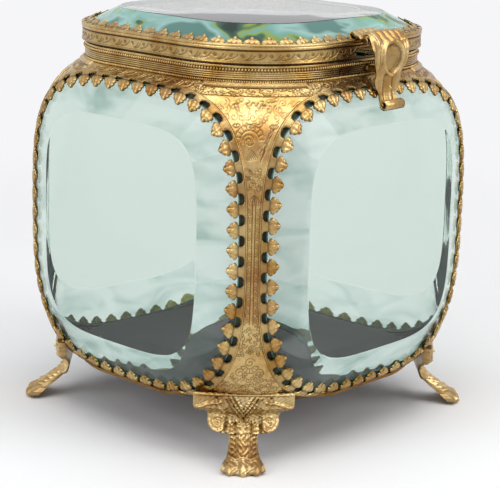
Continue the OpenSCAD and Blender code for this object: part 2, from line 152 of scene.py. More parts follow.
class Skin:
    """Collects closed lofts of section loops into one mesh, all facing outward."""

    def __init__(self):
        self.points, self.faces, self.marks, self.slots = [], [], [], []
        self.count = 0

    def add(self, sections, mark=None, ring=False, slot=0):
        """Skin loops of points (rows of closed sections, or copies of such lofts).

        Neighbouring loops are joined by quads. A ring joins its last loop to its first;
        otherwise both ends are closed by one flat face. The winding is turned round where
        the signed volume of the first copy is negative. slot is the material of every face,
        or one material for each row of quads with the lowest on the ends.
        """
        sections = np.asarray(sections, float)
        if sections.ndim == 3:
            sections = sections[None]
        copies, rows, cols = sections.shape[:3]
        i = np.arange(rows if ring else rows - 1)[:, None]
        j = np.arange(cols)[None, :]
        right = (j + 1) % cols
        up = (i + 1) % rows
        quads = np.stack([i * cols + j, i * cols + right, up * cols + right, up * cols + j],
                         axis=-1).reshape(-1, 4)
        caps = [] if ring else [np.arange(cols)[::-1], (rows - 1) * cols + np.arange(cols)]
        first = sections[0].reshape(-1, 3)
        first = first - first.mean(axis=0)
        triangles = np.concatenate(
            [quads[:, [0, 1, 2]], quads[:, [0, 2, 3]]]
            + [np.stack([np.full(cols - 2, cap[0]), cap[1:-1], cap[2:]], axis=-1)
               for cap in caps])
        a, b, c = (first[triangles[:, k]] for k in range(3))
        if np.einsum("ij,ij->i", a, np.cross(b, c)).sum() < 0:
            quads = quads[:, ::-1]
            caps = [cap[::-1] for cap in caps]
        each = rows * cols
        start = self.count + each * np.arange(copies)
        self.faces.extend((quads[None] + start[:, None, None]).reshape(-1, 4).tolist())
        for cap in caps:
            self.faces.extend((cap[None] + start[:, None]).tolist())
        rows_slot = np.repeat(np.broadcast_to(slot, len(i)), cols)
        ends = [] if ring else [np.full(copies, np.min(slot))] * 2
        self.slots.append(np.concatenate([np.tile(rows_slot, copies), *ends]))
        self.points.append(sections.reshape(-1, 3))
        shade = np.zeros(sections.shape[:3]) if mark is None else np.broadcast_to(
            mark, sections.shape[:3])
        self.marks.append(shade.reshape(-1))
        self.count += copies * each

    def sheet(self, front, back, dark, back_dark, ring=False):
        """Skin a worked front closed by a plain back, both as rows of points."""
        plain = np.full((*dark.shape[:-1], back.shape[-2]), back_dark)
        self.add(np.concatenate([front, back], axis=-2),
                 np.concatenate([dark, plain], axis=-1), ring=ring)

    def turned(self, turn):
        """Every point turned about the upright axis by an angle in degrees."""
        points = np.concatenate(self.points)
        c, s = math.cos(math.radians(turn)), math.sin(math.radians(turn))
        return np.stack([points[:, 0] * c - points[:, 1] * s,
                         points[:, 0] * s + points[:, 1] * c, points[:, 2]], axis=-1)

    def piece(self, name, finishes, node, slot="gilt_brass", body="casket", turn=0, sharp=50):
        """Make the Blender object, in metres, tie it to its body and hide the solid it
        replaces.
        """
        mesh = bpy.data.meshes.new(name)
        mesh.from_pydata((self.turned(turn) * MM).tolist(), [], self.faces)
        mesh.polygons.foreach_set("material_index", np.concatenate(self.slots).astype(np.int32))
        mesh.polygons.foreach_set("use_smooth", np.ones(len(self.faces), bool))
        # The marks darken the gilt with tarnish and painted shade, and below nought paint a
        # bright moss green, a painted light, on the shaded backs of prongs.
        shade = mesh.attributes.new("tarnish_and_painted_light", "FLOAT", "POINT")
        shade.data.foreach_set("value", np.concatenate(self.marks).astype(np.float32))
        mesh.update()
        mesh.set_sharp_from_angle(angle=math.radians(sharp))
        for material in finishes:
            mesh.materials.append(finish(material))
        thing = bpy.data.objects.new(name, mesh)
        bpy.context.scene.collection.objects.link(thing)
        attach(thing, body)
        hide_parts(node)
        return thing


def bell(gap, width):
    """Ridge that falls off with the gap as exp(-(gap / width)^2)."""
    return np.exp(-(gap / width) ** 2)


def read_off(table, place):
    """Second column of a table at a place along its first, in either order."""
    table = table[np.argsort(table[:, 0])]
    return np.interp(place, table[:, 0], table[:, 1])


def smooth_step(low, high, value):
    """0 below low, 1 above high and the cubic 3t^2 - 2t^3 between."""
    t = np.clip((value - low) / (high - low), 0, 1)
    return t * t * (3 - 2 * t)


def cavity(height, reach=2, gain=6.0):
    """Painted shade for the hollows of a height map: its local mean less itself, scaled to 0-1.
    """
    mean = np.zeros_like(height)
    for di in range(-reach, reach + 1):
        for dj in range(-reach, reach + 1):
            mean += np.roll(np.roll(height, di, axis=0), dj, axis=1)
    mean /= (2 * reach + 1) ** 2
    return np.clip((mean - height) * gain, 0, 1)


# Outlines

def oval(angle, wide, tall, upper, lower):
    """Squarish oval at polar angles.

    The radius is (|cos/wide|^p + |sin/tall|^p)^(-1/p), with the power p upper above the
    middle and lower below it.
    """
    power = np.where(np.sin(angle) >= 0, upper, lower)
    radius = (np.abs(np.cos(angle) / wide) ** power
              + np.abs(np.sin(angle) / tall) ** power) ** (-1 / power)
    return radius * np.cos(angle), radius * np.sin(angle)


# Table of the outline of one pane's opening: running length against place.
RUN_U, RUN_W = oval(np.linspace(0, 2 * np.pi, 4801), **OPENING)
RUN = np.concatenate([[0], np.cumsum(np.hypot(np.diff(RUN_U), np.diff(RUN_W)))])
OUTLINE_LENGTH = RUN[-1]


def outline_at(run):
    """Point of the opening outline at a running length, and the gradient direction there."""
    run = np.mod(run, OUTLINE_LENGTH)
    u, w = np.interp(run, RUN, RUN_U), np.interp(run, RUN, RUN_W)
    power = np.where(w >= 0, OPENING["upper"], OPENING["lower"])
    gu = np.sign(u) * np.abs(u / OPENING["wide"]) ** (power - 1) / OPENING["wide"]
    gw = np.sign(w) * np.abs(w / OPENING["tall"]) ** (power - 1) / OPENING["tall"]
    size = np.hypot(gu, gw)
    return u, w, gu / size, gw / size


def half_at(height, grow):
    """Half width of the opening outline, grown outward, at a height above the ground."""
    rise = (height - OPENING_CENTRE) / (OPENING["tall"] + grow)
    power = np.where(rise >= 0, OPENING["upper"], OPENING["lower"])
    inside = np.maximum(0, 1 - np.abs(rise) ** power)
    return (OPENING["wide"] + grow) * inside ** (1 / power)


def swell(height):
    """Extra bulge of a corner post: squares that grow over its top and its bottom reach."""
    top = np.clip(1 - (POST["high"] - height) / POST["shoulder_reach"], 0, 1)
    skirt = np.clip(1 - (height - POST["low"]) / POST["skirt_reach"], 0, 1)
    return POST["shoulder"] * top ** 2 + POST["skirt"] * skirt ** 2


def strip_point(run, across, lift):
    """Place on the metal strip that folds round one pane, in the frame of the front side.

    across is millimetres from the fold: positive runs inward and leans out over the bevel
    of the glass, negative runs outward over the corner post, along the direction that lies
    in the ruled surface of the post. Both parts are joined by a soft hinge, the function
    (v + sqrt(v^2 + r^2) - r) / 2. lift is height over that surface along its normal.
    """
    u, w, nu, nw = outline_at(run)
    bent = np.sqrt(across ** 2 + FOLD["hinge"] ** 2) - FOLD["hinge"]
    inward = (across + bent) / 2
    outward = (-across + bent) / 2
    lean = FOLD["lean"]
    level = np.where(w > 0, 0.3, 0.2)
    spread = np.abs(nu) / np.sqrt(1 + nu ** 2) + level * nw ** 4
    drop = np.sqrt(1 - spread ** 2)
    over = smooth_step(-0.6, 0.6, across)
    tilt_plane = over * math.sin(lean) + (1 - over) * drop
    tilt_depth = over * math.cos(lean) + (1 - over) * spread
    size = np.hypot(tilt_plane, tilt_depth)
    shift = -inward * math.cos(lean) + outward * spread + lift * tilt_plane / size
    depth = (FOLD["plane"] + inward * math.sin(lean) - outward * drop
             + lift * tilt_depth / size)
    height = OPENING_CENTRE + w
    chord = (POST["plane"] - half_at(height, POST["grow"])) * math.sqrt(2)
    place = np.clip(2 * outward * math.sqrt(2) / np.sqrt(1 + nu ** 2) / chord - 1, -1, 1)
    bulge = swell(np.clip(height, POST["low"], POST["high"])) * (1 - place ** 2)
    bulge = bulge * smooth_step(8, 22, np.abs(u)) / math.sqrt(2)
    return np.stack([u + nu * shift + np.sign(u) * bulge, -(depth + bulge),
                     height + nw * shift], axis=-1)


def square_path(half, corner, run):
    """Core point and outward direction at a running length of a rounded square.

    The walk starts in the middle of the front side and goes to the right. A point of the
    outline is the core point plus the corner radius times the direction.
    """
    straight = half - corner
    arc = corner * math.pi / 2
    total = 8 * straight + 4 * arc
    run = np.mod(run, total)
    side = np.floor((run + straight) / (2 * straight + arc))
    rest = run + straight - side * (2 * straight + arc)
    along = np.minimum(rest, 2 * straight) - straight
    turn = np.maximum(rest - 2 * straight, 0) / corner
    heading = side * math.pi / 2
    core_u, core_d = along, np.full_like(along, -straight)
    nu, nd = np.sin(turn), -np.cos(turn)
    c, s = np.cos(heading), np.sin(heading)
    return (core_u * c - core_d * s, core_u * s + core_d * c, nu * c - nd * s, nu * s + nd * c)


def square_length(half, corner):
    """Length round a rounded square: its straight sides and one circle of corners."""
    return 8 * (half - corner) + 2 * math.pi * corner


def swept_square(half, corner, run, offset, height):
    """Points at an offset outward and a height, carried round a rounded square."""
    cx, cy, nx, ny = square_path(half, corner, run)
    x, y, z = np.broadcast_arrays(cx + nx * (corner + offset), cy + ny * (corner + offset),
                                  height)
    return np.stack([x, y, z], axis=-1)


def swept_profile(half, corner, run, profile):
    """Every point (offset outward, height) of a profile at every running length."""
    return swept_square(half, corner, run, profile[None, :, 0], profile[None, :, 1])


def square_ring(half, corner, height, count):
    """Level rounded square of evenly spaced points."""
    run = np.arange(count) / count * square_length(half, corner)
    return swept_square(half, corner, run, 0.0, height)


# Engraved strokes

def spiral(x, z, radius, turns, start, hand=1, tail=0.15):
    """Spiral closing in evenly from its radius to a tail of it, as engraved scrolls do."""
    t = np.linspace(0, 1, max(12, int(radius * turns * 36)))
    reach = radius * (1 - (1 - tail) * t)
    angle = math.radians(start) + hand * 2 * math.pi * turns * t
    return np.stack([x + reach * np.cos(angle), z + reach * np.sin(angle)], axis=-1)


def arc(x, z, radius, first, last):
    """Circular arc between two angles in degrees."""
    angle = np.radians(np.linspace(first, last, max(8, int(abs(last - first) * radius / 6))))
    return np.stack([x + radius * np.cos(angle), z + radius * np.sin(angle)], axis=-1)


def curve(start, middle, end, samples=40):
    """Quadratic curve through a start and an end, pulled toward the middle point."""
    t = np.linspace(0, 1, samples)[:, None]
    start, middle, end = (np.asarray(p, float) for p in (start, middle, end))
    return (1 - t) ** 2 * start + 2 * t * (1 - t) * middle + t ** 2 * end


def fan(x, z, inner, outer, first, last, ribs):
    """Shell fan: two arcs with ribs between them."""
    lines = [arc(x, z, inner, first, last), arc(x, z, outer, first, last)]
    for angle in np.radians(np.linspace(first, last, ribs)):
        way = np.array([math.cos(angle), math.sin(angle)])
        centre = np.array([x, z])
        lines.append(curve(centre + way * inner * 1.08, centre + way * (inner + outer) / 2,
                           centre + way * outer * 0.93, 10))
    return lines


def curl_field(dice, low, high, reach, step):
    """Close-set curls, shells and leaf cuts, row over row, as a chaser fills a ground.

    dice is a seeded generator, reach the half width of the ground by height and step the
    spacing; every motif turns a random way about its own place.
    """
    lines = []
    for row, height in enumerate(np.arange(low, high, step * 0.8)):
        wide = max(reach(height), 0.2)
        spots = max(1, round(2 * wide / step))
        for x in (np.arange(spots) - (spots - 1) / 2) * step + 0.35 * step * (row % 2):
            x = x + dice.uniform(-0.2, 0.2) * step
            z = height + dice.uniform(-0.15, 0.15) * step
            turn = dice.uniform(0, 360)
            kind = dice.integers(0, 4)
            size = step * dice.uniform(0.45, 0.6)
            if kind == 0:
                lines.append(spiral(x, z, size, 1.2, turn, dice.choice([-1, 1])))
            elif kind == 1:
                lines += [arc(x, z, size * k, turn, turn + 150) for k in (0.5, 1.1)]
            elif kind == 2:
                lines += fan(x, z, 0.4 * size, 1.25 * size, turn, turn + 120, 3)
            else:
                way = np.array([math.cos(math.radians(turn)), math.sin(math.radians(turn))])
                flank = np.array([-way[1], way[0]])
                spot = np.array([x, z])
                lines.append(curve(spot - way * size, spot + flank * size, spot, 14))
                lines.append(curve(spot, spot - flank * size, spot + way * size, 14))
    return lines


def post_strokes():
    """Shell, leaf and scroll lines of a corner post, across and above the ground in mm."""
    dice = np.random.default_rng(11)
    lines = curl_field(dice, 95.2, 101.2, lambda z: 3.6 + 1.5 * (z - 94) + 0.25 * (z - 94) ** 2,
                       1.9)
    lines += fan(-1.5, 91.0, 2.5, 3.9, 5, 185, 10)
    lines += [spiral(-1.6, 90.9, 1.8, 1.6, 200, -1), spiral(1.9, 88.4, 1.2, 1.2, 120)]
    lines += [curve((6.0, 95.4), (3.4, 92.0), (1.4, 85.4)),
              curve((4.6, 94.8), (2.5, 91.4), (0.7, 86.4))]
    for k in range(6):
        lines.append(arc(-2.4, 85.8, 0.6 + 0.5 * k, 10, 80))
        lines.append(curve((4.7 - 0.5 * k, 93.6 - 1.25 * k), (3.7 - 0.45 * k, 93.0 - 1.25 * k),
                           (2.9 - 0.3 * k, 91.5 - 1.2 * k)))
    lines += curl_field(dice, 78.5, 84.5, lambda z: 2.2 + 0.12 * (z - 78), 1.5)
    for k in range(7):
        lines.append(curve((0, 77.2), (0.5 * (k - 3), 76.4), (0.62 * (k - 3), 74.4), 16))
    for side in (-1, 1):
        lines.append(curve((side * 0.45, 75), (side * 0.3, 58), (side * 0.5, 42), 300))
        for k in range(14):
            z = 73.4 - 2.25 * k
            lines.append(spiral(side * 1.65, z, 0.72, 1.1, 90 + 90 * side, side))
            lines.append(curve((side * 0.55, z - 0.6), (side * 1.5, z - 0.9),
                               (side * 2.3, z - 2.0), 14))
            lines.append(curve((side * 0.6, z - 1.2), (side * 1.3, z - 1.4),
                               (side * 1.9, z - 2.3), 14))
    lines += curl_field(dice, 33.5, 41.5, lambda z: 2.4 + 0.16 * (42 - z), 1.5)
    lines += fan(0, 29.8, 1.0, 2.4, 190, 350, 7)
    lines += [spiral(0, 30.6, 1.5, 1.4, 20, 1), spiral(-2.6, 27.4, 1.4, 1.4, 60, 1),
              spiral(2.6, 27.4, 1.4, 1.4, 120, -1)]
    lines += curl_field(dice, 21.4, 27.0, lambda z: 4.0 + 1.1 * (27.6 - z), 1.6)
    return np.concatenate(lines)


def scroll_strokes(pitch, low, high):
    """One repeat of the running scroll: a slanting S, its curl and two leaf cuts."""
    tall = high - low
    middle = (low + high) / 2
    cuts = np.array([[[0.05, 0.1], [0.42, 0.2], [0.5, 0.85]],
                     [[0.72, 0.12], [0.9, 0.2], [0.98, 0.8]],
                     [[0.8, 0.05], [1.0, 0.15], [1.08, 0.65]]])
    lines = [curve(*cut) for cut in cuts * (pitch, tall) + (0, low)]
    lines += [spiral(0.66 * pitch, middle + 0.08 * tall, 0.27 * tall, 1.25, 170, -1),
              spiral(0.26 * pitch, middle + 0.12 * tall, 0.24 * tall, 1.2, 20, 1)]
    strokes = np.concatenate(lines)
    shifts = np.array([[-pitch, 0], [0, 0], [pitch, 0]])
    return (strokes[None] + shifts[:, None]).reshape(-1, 2)


def stroke_depth(across, height, strokes, width):
    """Engraving strength, row by row: a bell curve of the distance to the nearest stroke."""
    depth = np.zeros_like(across)
    for row in range(len(across)):
        near = strokes[(strokes[:, 1] > height[row].min() - 1)
                       & (strokes[:, 1] < height[row].max() + 1)]
        if len(near):
            gap = np.hypot(across[row][:, None] - near[None, :, 0],
                           height[row][:, None] - near[None, :, 1]).min(axis=1)
            depth[row] = bell(gap, width)
    return depth


# Materials

def add_node(tree, kind, inputs=None, out=0, stops=(), **settings):
    """Add one shader node with its settings, links and ramp stops; give back one output."""
    item = tree.nodes.new("ShaderNode" + kind)
    for key, value in settings.items():
        setattr(item, key, value)
    for key, value in (inputs or {}).items():
        if isinstance(value, bpy.types.NodeSocket):
            tree.links.new(value, item.inputs[key])
        else:
            item.inputs[key].default_value = value
    if stops:
        elements = item.color_ramp.elements
        while len(elements) < len(stops):
            elements.new(0.5)
        for element, (place, colour) in zip(elements, stops):
            element.position = place
            element.color = colour
    return item.outputs[out] if item.outputs else None


def new_material(name):
    """Fresh material, its empty node tree and the object coordinates in it."""
    material = bpy.data.materials.new(name)
    material.use_nodes = True
    material.node_tree.nodes.clear()
    return material, material.node_tree, add_node(material.node_tree, "TexCoord", out="Object")


def gilt_metal(name, light, mid, deep, copper, worn, rough, grain):
    """Gilded metal, stamped or cast: rubbed high spots, brown tarnish and painted shade in the
    recesses, thin copper patches.

    worn is how much of the gilding has gone, rough the middle roughness and grain the size
    in millimetres of the pitting left by the die or the mould.
    """
    material, tree, spot = new_material(name)
    tarnish_and_painted_light = add_node(tree, "Attribute", out="Fac", attribute_name="tarnish_and_painted_light")
    cloud = add_node(tree, "TexNoise", {"Vector": spot, "Scale": 1 / (9 * MM), "Detail": 4.0,
                                        "Roughness": 0.6})
    tone = add_node(tree, "ValToRGB", {"Fac": cloud}, stops=[(0.32, mid), (0.68, light)])
    patch = add_node(tree, "TexNoise", {"Vector": spot, "Scale": 1 / (16 * MM), "Detail": 5.0,
                                        "Roughness": 0.65})
    thin = add_node(tree, "MapRange", {"Value": patch, "From Min": 0.62 - 0.3 * worn,
                                       "From Max": 0.78 - 0.2 * worn, "To Max": 0.75})
    colour = add_node(tree, "Mix", {"Factor": thin, 6: tone, 7: copper}, 2, data_type="RGBA")
    speck = add_node(tree, "TexNoise", {"Vector": spot, "Scale": 1 / (1.1 * MM), "Detail": 3.0,
                                        "Roughness": 0.7})
    stain = add_node(tree, "MapRange", {"Value": speck, "From Min": 0.6 - 0.15 * worn,
                                        "From Max": 0.85, "To Max": 0.55})
    # Tarnish lies in the specks; the marks add tarnish and painted shade in the hollows, gaps
    # and backs, and a mark below nought paints the shaded back of a prong a bright moss green,
    # a painted light.
    tarnish_and_shade = add_node(tree, "Math", {0: stain, 1: tarnish_and_painted_light}, operation="MAXIMUM")
    for amount, strength, tint in ((tarnish_and_shade, 0.85, deep), (tarnish_and_painted_light, -1.0, srgb("#b3ab4c"))):
        share = add_node(tree, "Math", {0: amount, 1: strength}, operation="MULTIPLY",
                         use_clamp=True)
        colour = add_node(tree, "Mix", {"Factor": share, 6: colour, 7: tint}, 2,
                          data_type="RGBA")
    gloss = add_node(tree, "MapRange", {"Value": speck, "From Min": 0.3, "From Max": 0.75,
                                        "To Min": rough - 0.08, "To Max": rough + 0.14})
    pits = add_node(tree, "TexNoise", {"Vector": spot, "Scale": 1 / (grain * MM),
                                       "Detail": 2.0})
    bump = add_node(tree, "Bump", {"Height": pits, "Strength": 0.6, "Distance": 0.08 * MM})
    shader = add_node(tree, "BsdfPrincipled", {"Base Color": colour, "Metallic": 1.0,
                                               "Roughness": gloss, "Normal": bump})
    add_node(tree, "OutputMaterial", {"Surface": shader})
    return material


def stamped_brass(name):
    """Thin brass sheet stamped in a die and fire gilt: warm, softly rubbed, pale high spots."""
    tint = colours()
    return gilt_metal(name, tint.gilt_light, tint.gilt_mid, tint.gilt_deep, tint.copper,
                      worn=0.4, rough=0.28, grain=0.5)


def cast_brass(name):
    """Sand-cast brass, chased and gilt: coarser skin, and stronger contrast from tarnish and
    painted shade in its hollows.
    """
    return gilt_metal(name, srgb("#e2c993"), srgb("#aa8449"), srgb("#33200c"),
                      colours().copper, worn=0.45, rough=0.3, grain=0.7)


def tarnished_brass(name):
    """Brass with most of its gilding gone: dull brown gold, as on hidden edges."""
    return gilt_metal(name, srgb("#94733a"), srgb("#6c4f25"), srgb("#2b1d0e"),
                      srgb("#7a4a2a"), worn=0.6, rough=0.45, grain=0.6)


def shaded_rebate_brass(name):
    """Unpolished brass behind the piercings: nearly black, a painted shade, with a green bloom.
    """
    material, tree, spot = new_material(name)
    bloom = add_node(tree, "TexNoise", {"Vector": spot, "Scale": 1 / (2 * MM), "Detail": 3.0})
    tone = add_node(tree, "ValToRGB", {"Fac": bloom},
                    stops=[(0.4, srgb("#1b140b")), (0.7, srgb("#3f4631"))])
    shader = add_node(tree, "BsdfPrincipled", {"Base Color": tone, "Metallic": 0.4,
                                               "Roughness": 0.7})
    add_node(tree, "OutputMaterial", {"Surface": shader})
    return material


def plate_glass(name, clear=1.0, tints=None):
    """Cut and polished plate glass: clear with a breath of green, handling marks in its gloss.

    Where clear is below 1 the rest is filled with clouds of the tints, the green light that
    is thrown back and forth between the faces of a bevel.
    """
    material, tree, spot = new_material(name)
    marks = add_node(tree, "TexNoise", {"Vector": spot, "Scale": 1 / (18 * MM), "Detail": 4.0})
    gloss = add_node(tree, "MapRange", {"Value": marks, "From Min": 0.45, "From Max": 0.8,
                                        "To Min": 0.0, "To Max": 0.05})
    wave = add_node(tree, "TexNoise", {"Vector": spot, "Scale": 1 / (14 * MM), "Detail": 1.0})
    bump = add_node(tree, "Bump", {"Height": wave, "Strength": 0.12, "Distance": 0.2 * MM})
    colour = colours().glass
    if tints:
        stretch = add_node(tree, "Mapping", {"Vector": spot, "Scale": (1.0, 1.0, 2.2)})
        cloud = add_node(tree, "TexNoise", {"Vector": stretch, "Scale": 1 / (17 * MM),
                                            "Detail": 2.0, "Roughness": 0.55,
                                            "Distortion": 0.6})
        colour = add_node(tree, "ValToRGB", {"Fac": cloud}, stops=tints)
    shader = add_node(tree, "BsdfPrincipled", {
        "Base Color": colour, "Roughness": gloss, "Transmission Weight": clear, "IOR": 1.36,
        "Specular IOR Level": 0.35, "Normal": bump})
    add_node(tree, "OutputMaterial", {"Surface": shader})
    return material


def side_bevel_glass(name):
    """Long polished bevel of a side pane: nearly clear, veiled with pale sea green."""
    return plate_glass(name, 0.955, [
        (0.3, srgb("#95b2aa")), (0.42, srgb("#c6dbd5")), (0.57, srgb("#e8f3f0"))])


def lid_bevel_glass(name):
    """Steep polished bevel of the lid: turquoise, with dark and yellow-green reflections."""
    return plate_glass(name, 0.4, [
        (0.3, srgb("#24423a")), (0.37, srgb("#4f7a5e")), (0.4, srgb("#a3c05c")),
        (0.44, srgb("#86c4b8")), (0.57, srgb("#b4e2da")), (0.66, srgb("#5d978d"))])


def ground_edge_glass(name):
    """Matt ground rim of the plate under the prongs: bottle green, speckled by grinding."""
    material, tree, spot = new_material(name)
    grit = add_node(tree, "TexNoise", {"Vector": spot, "Scale": 1 / (1.5 * MM), "Detail": 3.0})
    tone = add_node(tree, "ValToRGB", {"Fac": grit},
                    stops=[(0.35, srgb("#2f5548")), (0.7, srgb("#5f8f7e"))])
    bump = add_node(tree, "Bump", {"Height": grit, "Strength": 0.3, "Distance": 0.05 * MM})
    shader = add_node(tree, "BsdfPrincipled", {"Base Color": tone, "Roughness": 0.5,
                                               "Normal": bump})
    add_node(tree, "OutputMaterial", {"Surface": shader})
    return material


def cotton_velvet(name):
    """Woven cotton velvet: black pile that brightens at its edges, flecked with lint."""
    material, tree, spot = new_material(name)
    pile = add_node(tree, "TexNoise", {"Vector": spot, "Scale": 1 / (6 * MM), "Detail": 5.0})
    tone = add_node(tree, "ValToRGB", {"Fac": pile},
                    stops=[(0.35, colours().velvet), (0.75, srgb("#1d1f20"))])
    lint = add_node(tree, "TexVoronoi", {"Vector": spot, "Scale": 1 / (2.6 * MM),
                                         "Randomness": 1.0}, feature="F1")
    fleck = add_node(tree, "MapRange", {"Value": lint, "From Min": 0.09, "From Max": 0.05,
                                        "To Max": 0.7})
    colour = add_node(tree, "Mix", {"Factor": fleck, 6: tone, 7: srgb("#b9bdbb")}, 2,
                      data_type="RGBA")
    nap = add_node(tree, "TexNoise", {"Vector": spot, "Scale": 1 / (0.5 * MM), "Detail": 2.0})
    bump = add_node(tree, "Bump", {"Height": nap, "Strength": 0.5, "Distance": 0.2 * MM})
    shader = add_node(tree, "BsdfPrincipled", {
        "Base Color": colour, "Roughness": 0.95, "Sheen Weight": 0.08, "Sheen Roughness": 0.4,
        "Normal": bump})
    add_node(tree, "OutputMaterial", {"Surface": shader})
    return material


def stained_board(name):
    """Thin sawn softwood, stained brown: grain about a millimetre apart along the sides."""
    material, tree, spot = new_material(name)
    stretch = add_node(tree, "Mapping", {"Vector": spot, "Scale": (0.08, 1.0, 1.0)})
    grain = add_node(tree, "TexNoise", {"Vector": stretch, "Scale": 1 / (1.2 * MM),
                                        "Detail": 4.0})
    tone = add_node(tree, "ValToRGB", {"Fac": grain},
                    stops=[(0.35, colours().board), (0.7, srgb("#5d4630"))])
    bump = add_node(tree, "Bump", {"Height": grain, "Strength": 0.4, "Distance": 0.1 * MM})
    shader = add_node(tree, "BsdfPrincipled", {"Base Color": tone, "Roughness": 0.6,
                                               "Normal": bump})
    add_node(tree, "OutputMaterial", {"Surface": shader})
    return material


FINISHES = {
    "fire_gilt_stamped_brass": stamped_brass, "gilt_cast_brass": cast_brass,
    "tarnished_brass_sheet": tarnished_brass, "oxidised_brass_rebate": shaded_rebate_brass,
    "polished_plate_glass": plate_glass, "cut_bevel_glass": side_bevel_glass,
    "cut_lid_bevel_glass": lid_bevel_glass, "ground_glass_edge": ground_edge_glass,
    "cotton_velvet": cotton_velvet, "stained_softwood_board": stained_board}


def finish(name):
    """The material of that name, made once."""
    return bpy.data.materials.get(name) or FINISHES[name](name)


# Pieces

# Half width of a prong by its distance from the fold, root to tip.
PRONG_ROWS = np.array([
    [-1.95, 2.95], [-1.78, 2.35], [-1.58, 1.8], [-1.3, 1.42], [-0.7, 1.28], [-0.2, 1.3],
    [0.1, 1.6], [0.3, 2.05], [0.55, 2.3], [0.9, 2.36], [1.2, 2.2], [1.38, 1.85], [1.5, 1.72],
    [1.68, 1.84], [1.95, 1.84], [2.2, 1.55], [2.38, 1.15], [2.55, 0.98], [2.78, 0.86],
    [3.0, 0.6], [3.15, 0.25]])
LID_PRONG_ROWS = np.array([
    [-0.35, 2.95], [-0.15, 2.3], [0.1, 1.6], [0.4, 1.2], [0.7, 1.15], [0.9, 1.45],
    [1.1, 1.95], [1.35, 2.3], [1.65, 2.3], [1.85, 1.85], [2.0, 1.6], [2.2, 1.6],
    [2.45, 1.35], [2.65, 0.95], [2.95, 0.8], [3.2, 0.35]])
PRONG_CUT = 0.16
# Marks of tarnish and painted shade: 1 is the darkest. BACK and DEEP darken the backs of sheets
# as painted shade, and below nought the shaded back of a prong is painted a bright moss green,
# a painted light.
BACK = 0.6
DEEP = 0.7
PAINTED_BACK_LIGHT = -0.9


def prong_heads(rows, head, tip):
    """Places, relief and darkening over one prong: tarnish and painted shade in its low spots.

    Each boss rises as (1 - r^2)^0.4 of the distance r from its middle: three on the head
    and three at the tip, with two cuts along the prong and one across it.
    """
    fine = np.interp(np.linspace(0, len(rows) - 1, 2 * len(rows) - 1), np.arange(len(rows)),
                     rows[:, 0])
    wide = read_off(rows, fine)
    side = np.sin(np.linspace(-math.pi / 2, math.pi / 2, 17))
    x = wide[:, None] * side[None, :]
    v = np.broadcast_to(fine[:, None], x.shape)
    height = 0.45 + 0 * x
    for cx, cv, radius, peak in ((0, head, 1.0, 1.0), (-1.5, head, 0.75, 0.9),
                                 (1.5, head, 0.75, 0.9), (0, tip, 0.7, 0.9),
                                 (-0.8, tip - 0.75, 0.6, 0.8), (0.8, tip - 0.75, 0.6, 0.8)):
        gap = np.clip(np.hypot(x - cx, v - cv) / radius, 0, 1)
        height = np.maximum(height, peak * (1 - gap ** 2) ** 0.4)
    for cut in (-0.62, 0.62):
        height -= 0.5 * bell(x - cut, PRONG_CUT) * (v > head - 0.9)
    height -= 0.4 * bell(v - head + 1.15, PRONG_CUT)
    height -= 0.4 * np.abs(side)[None, :] ** 6
    # Low spots are darkened: tarnish and painted shade.
    return x, v, height, np.clip(0.6 - height, 0, 0.6) * 1.6


def side_gallery_skin():
    """Folded strip round one pane: prongs, raised border and the rebate behind them, a dark
    sheet of painted shade.
    """
    skin = Skin()
    pitch = OUTLINE_LENGTH / SIDE_PRONGS
    centres = ((np.arange(SIDE_PRONGS) + 0.5) * pitch)[:, None, None]
    x, v, height, dark = prong_heads(PRONG_ROWS, 1.05, 2.5)
    front = strip_point(centres + x, v + 0 * centres, 0.3 + detail("prong_relief") * height)
    back = strip_point(centres + x[:, [-1, 0]], v[:, :2] + 0 * centres, 0 * centres - 0.1)
    # The prong backs get a bright moss green: painted light on a shaded side.
    skin.sheet(front, back, dark, PAINTED_BACK_LIGHT)
    around = np.linspace(0, OUTLINE_LENGTH, 417)[:-1, None]
    border = np.array([
        [-1.7, 0.05], [-1.76, 0.24], [-1.86, 0.3], [-1.94, 0.18], [-2.02, 0.3], [-2.14, 0.38],
        [-2.28, 0.36], [-2.38, 0.24], [-2.44, 0.1], [-2.5, 0.2], [-2.6, 0.16], [-2.66, 0.0],
        [-2.66, -0.3], [-1.7, -0.3]])
    # The border's incised lines and its underside are darkened: tarnish and painted shade.
    dark = np.array([0.4, 0.1, 0, 0.9, 0.1, 0, 0, 0.1, 1, 0.1, 0, 0.6, 0.8, 0.8])
    skin.add(strip_point(around, border[None, :, 0], border[None, :, 1]), dark, ring=True)
    # The rebate is a dark sheet set where the shade under the fold falls: painted shade.
    rebate = np.array([[-2.0, -0.45], [-0.8, -0.75], [0.05, -0.85], [0.05, -1.1], [-0.8, -1.0],
                       [-2.0, -0.7]])
    skin.add(strip_point(around, rebate[None, :, 0], rebate[None, :, 1]), ring=True, slot=1)
    return skin


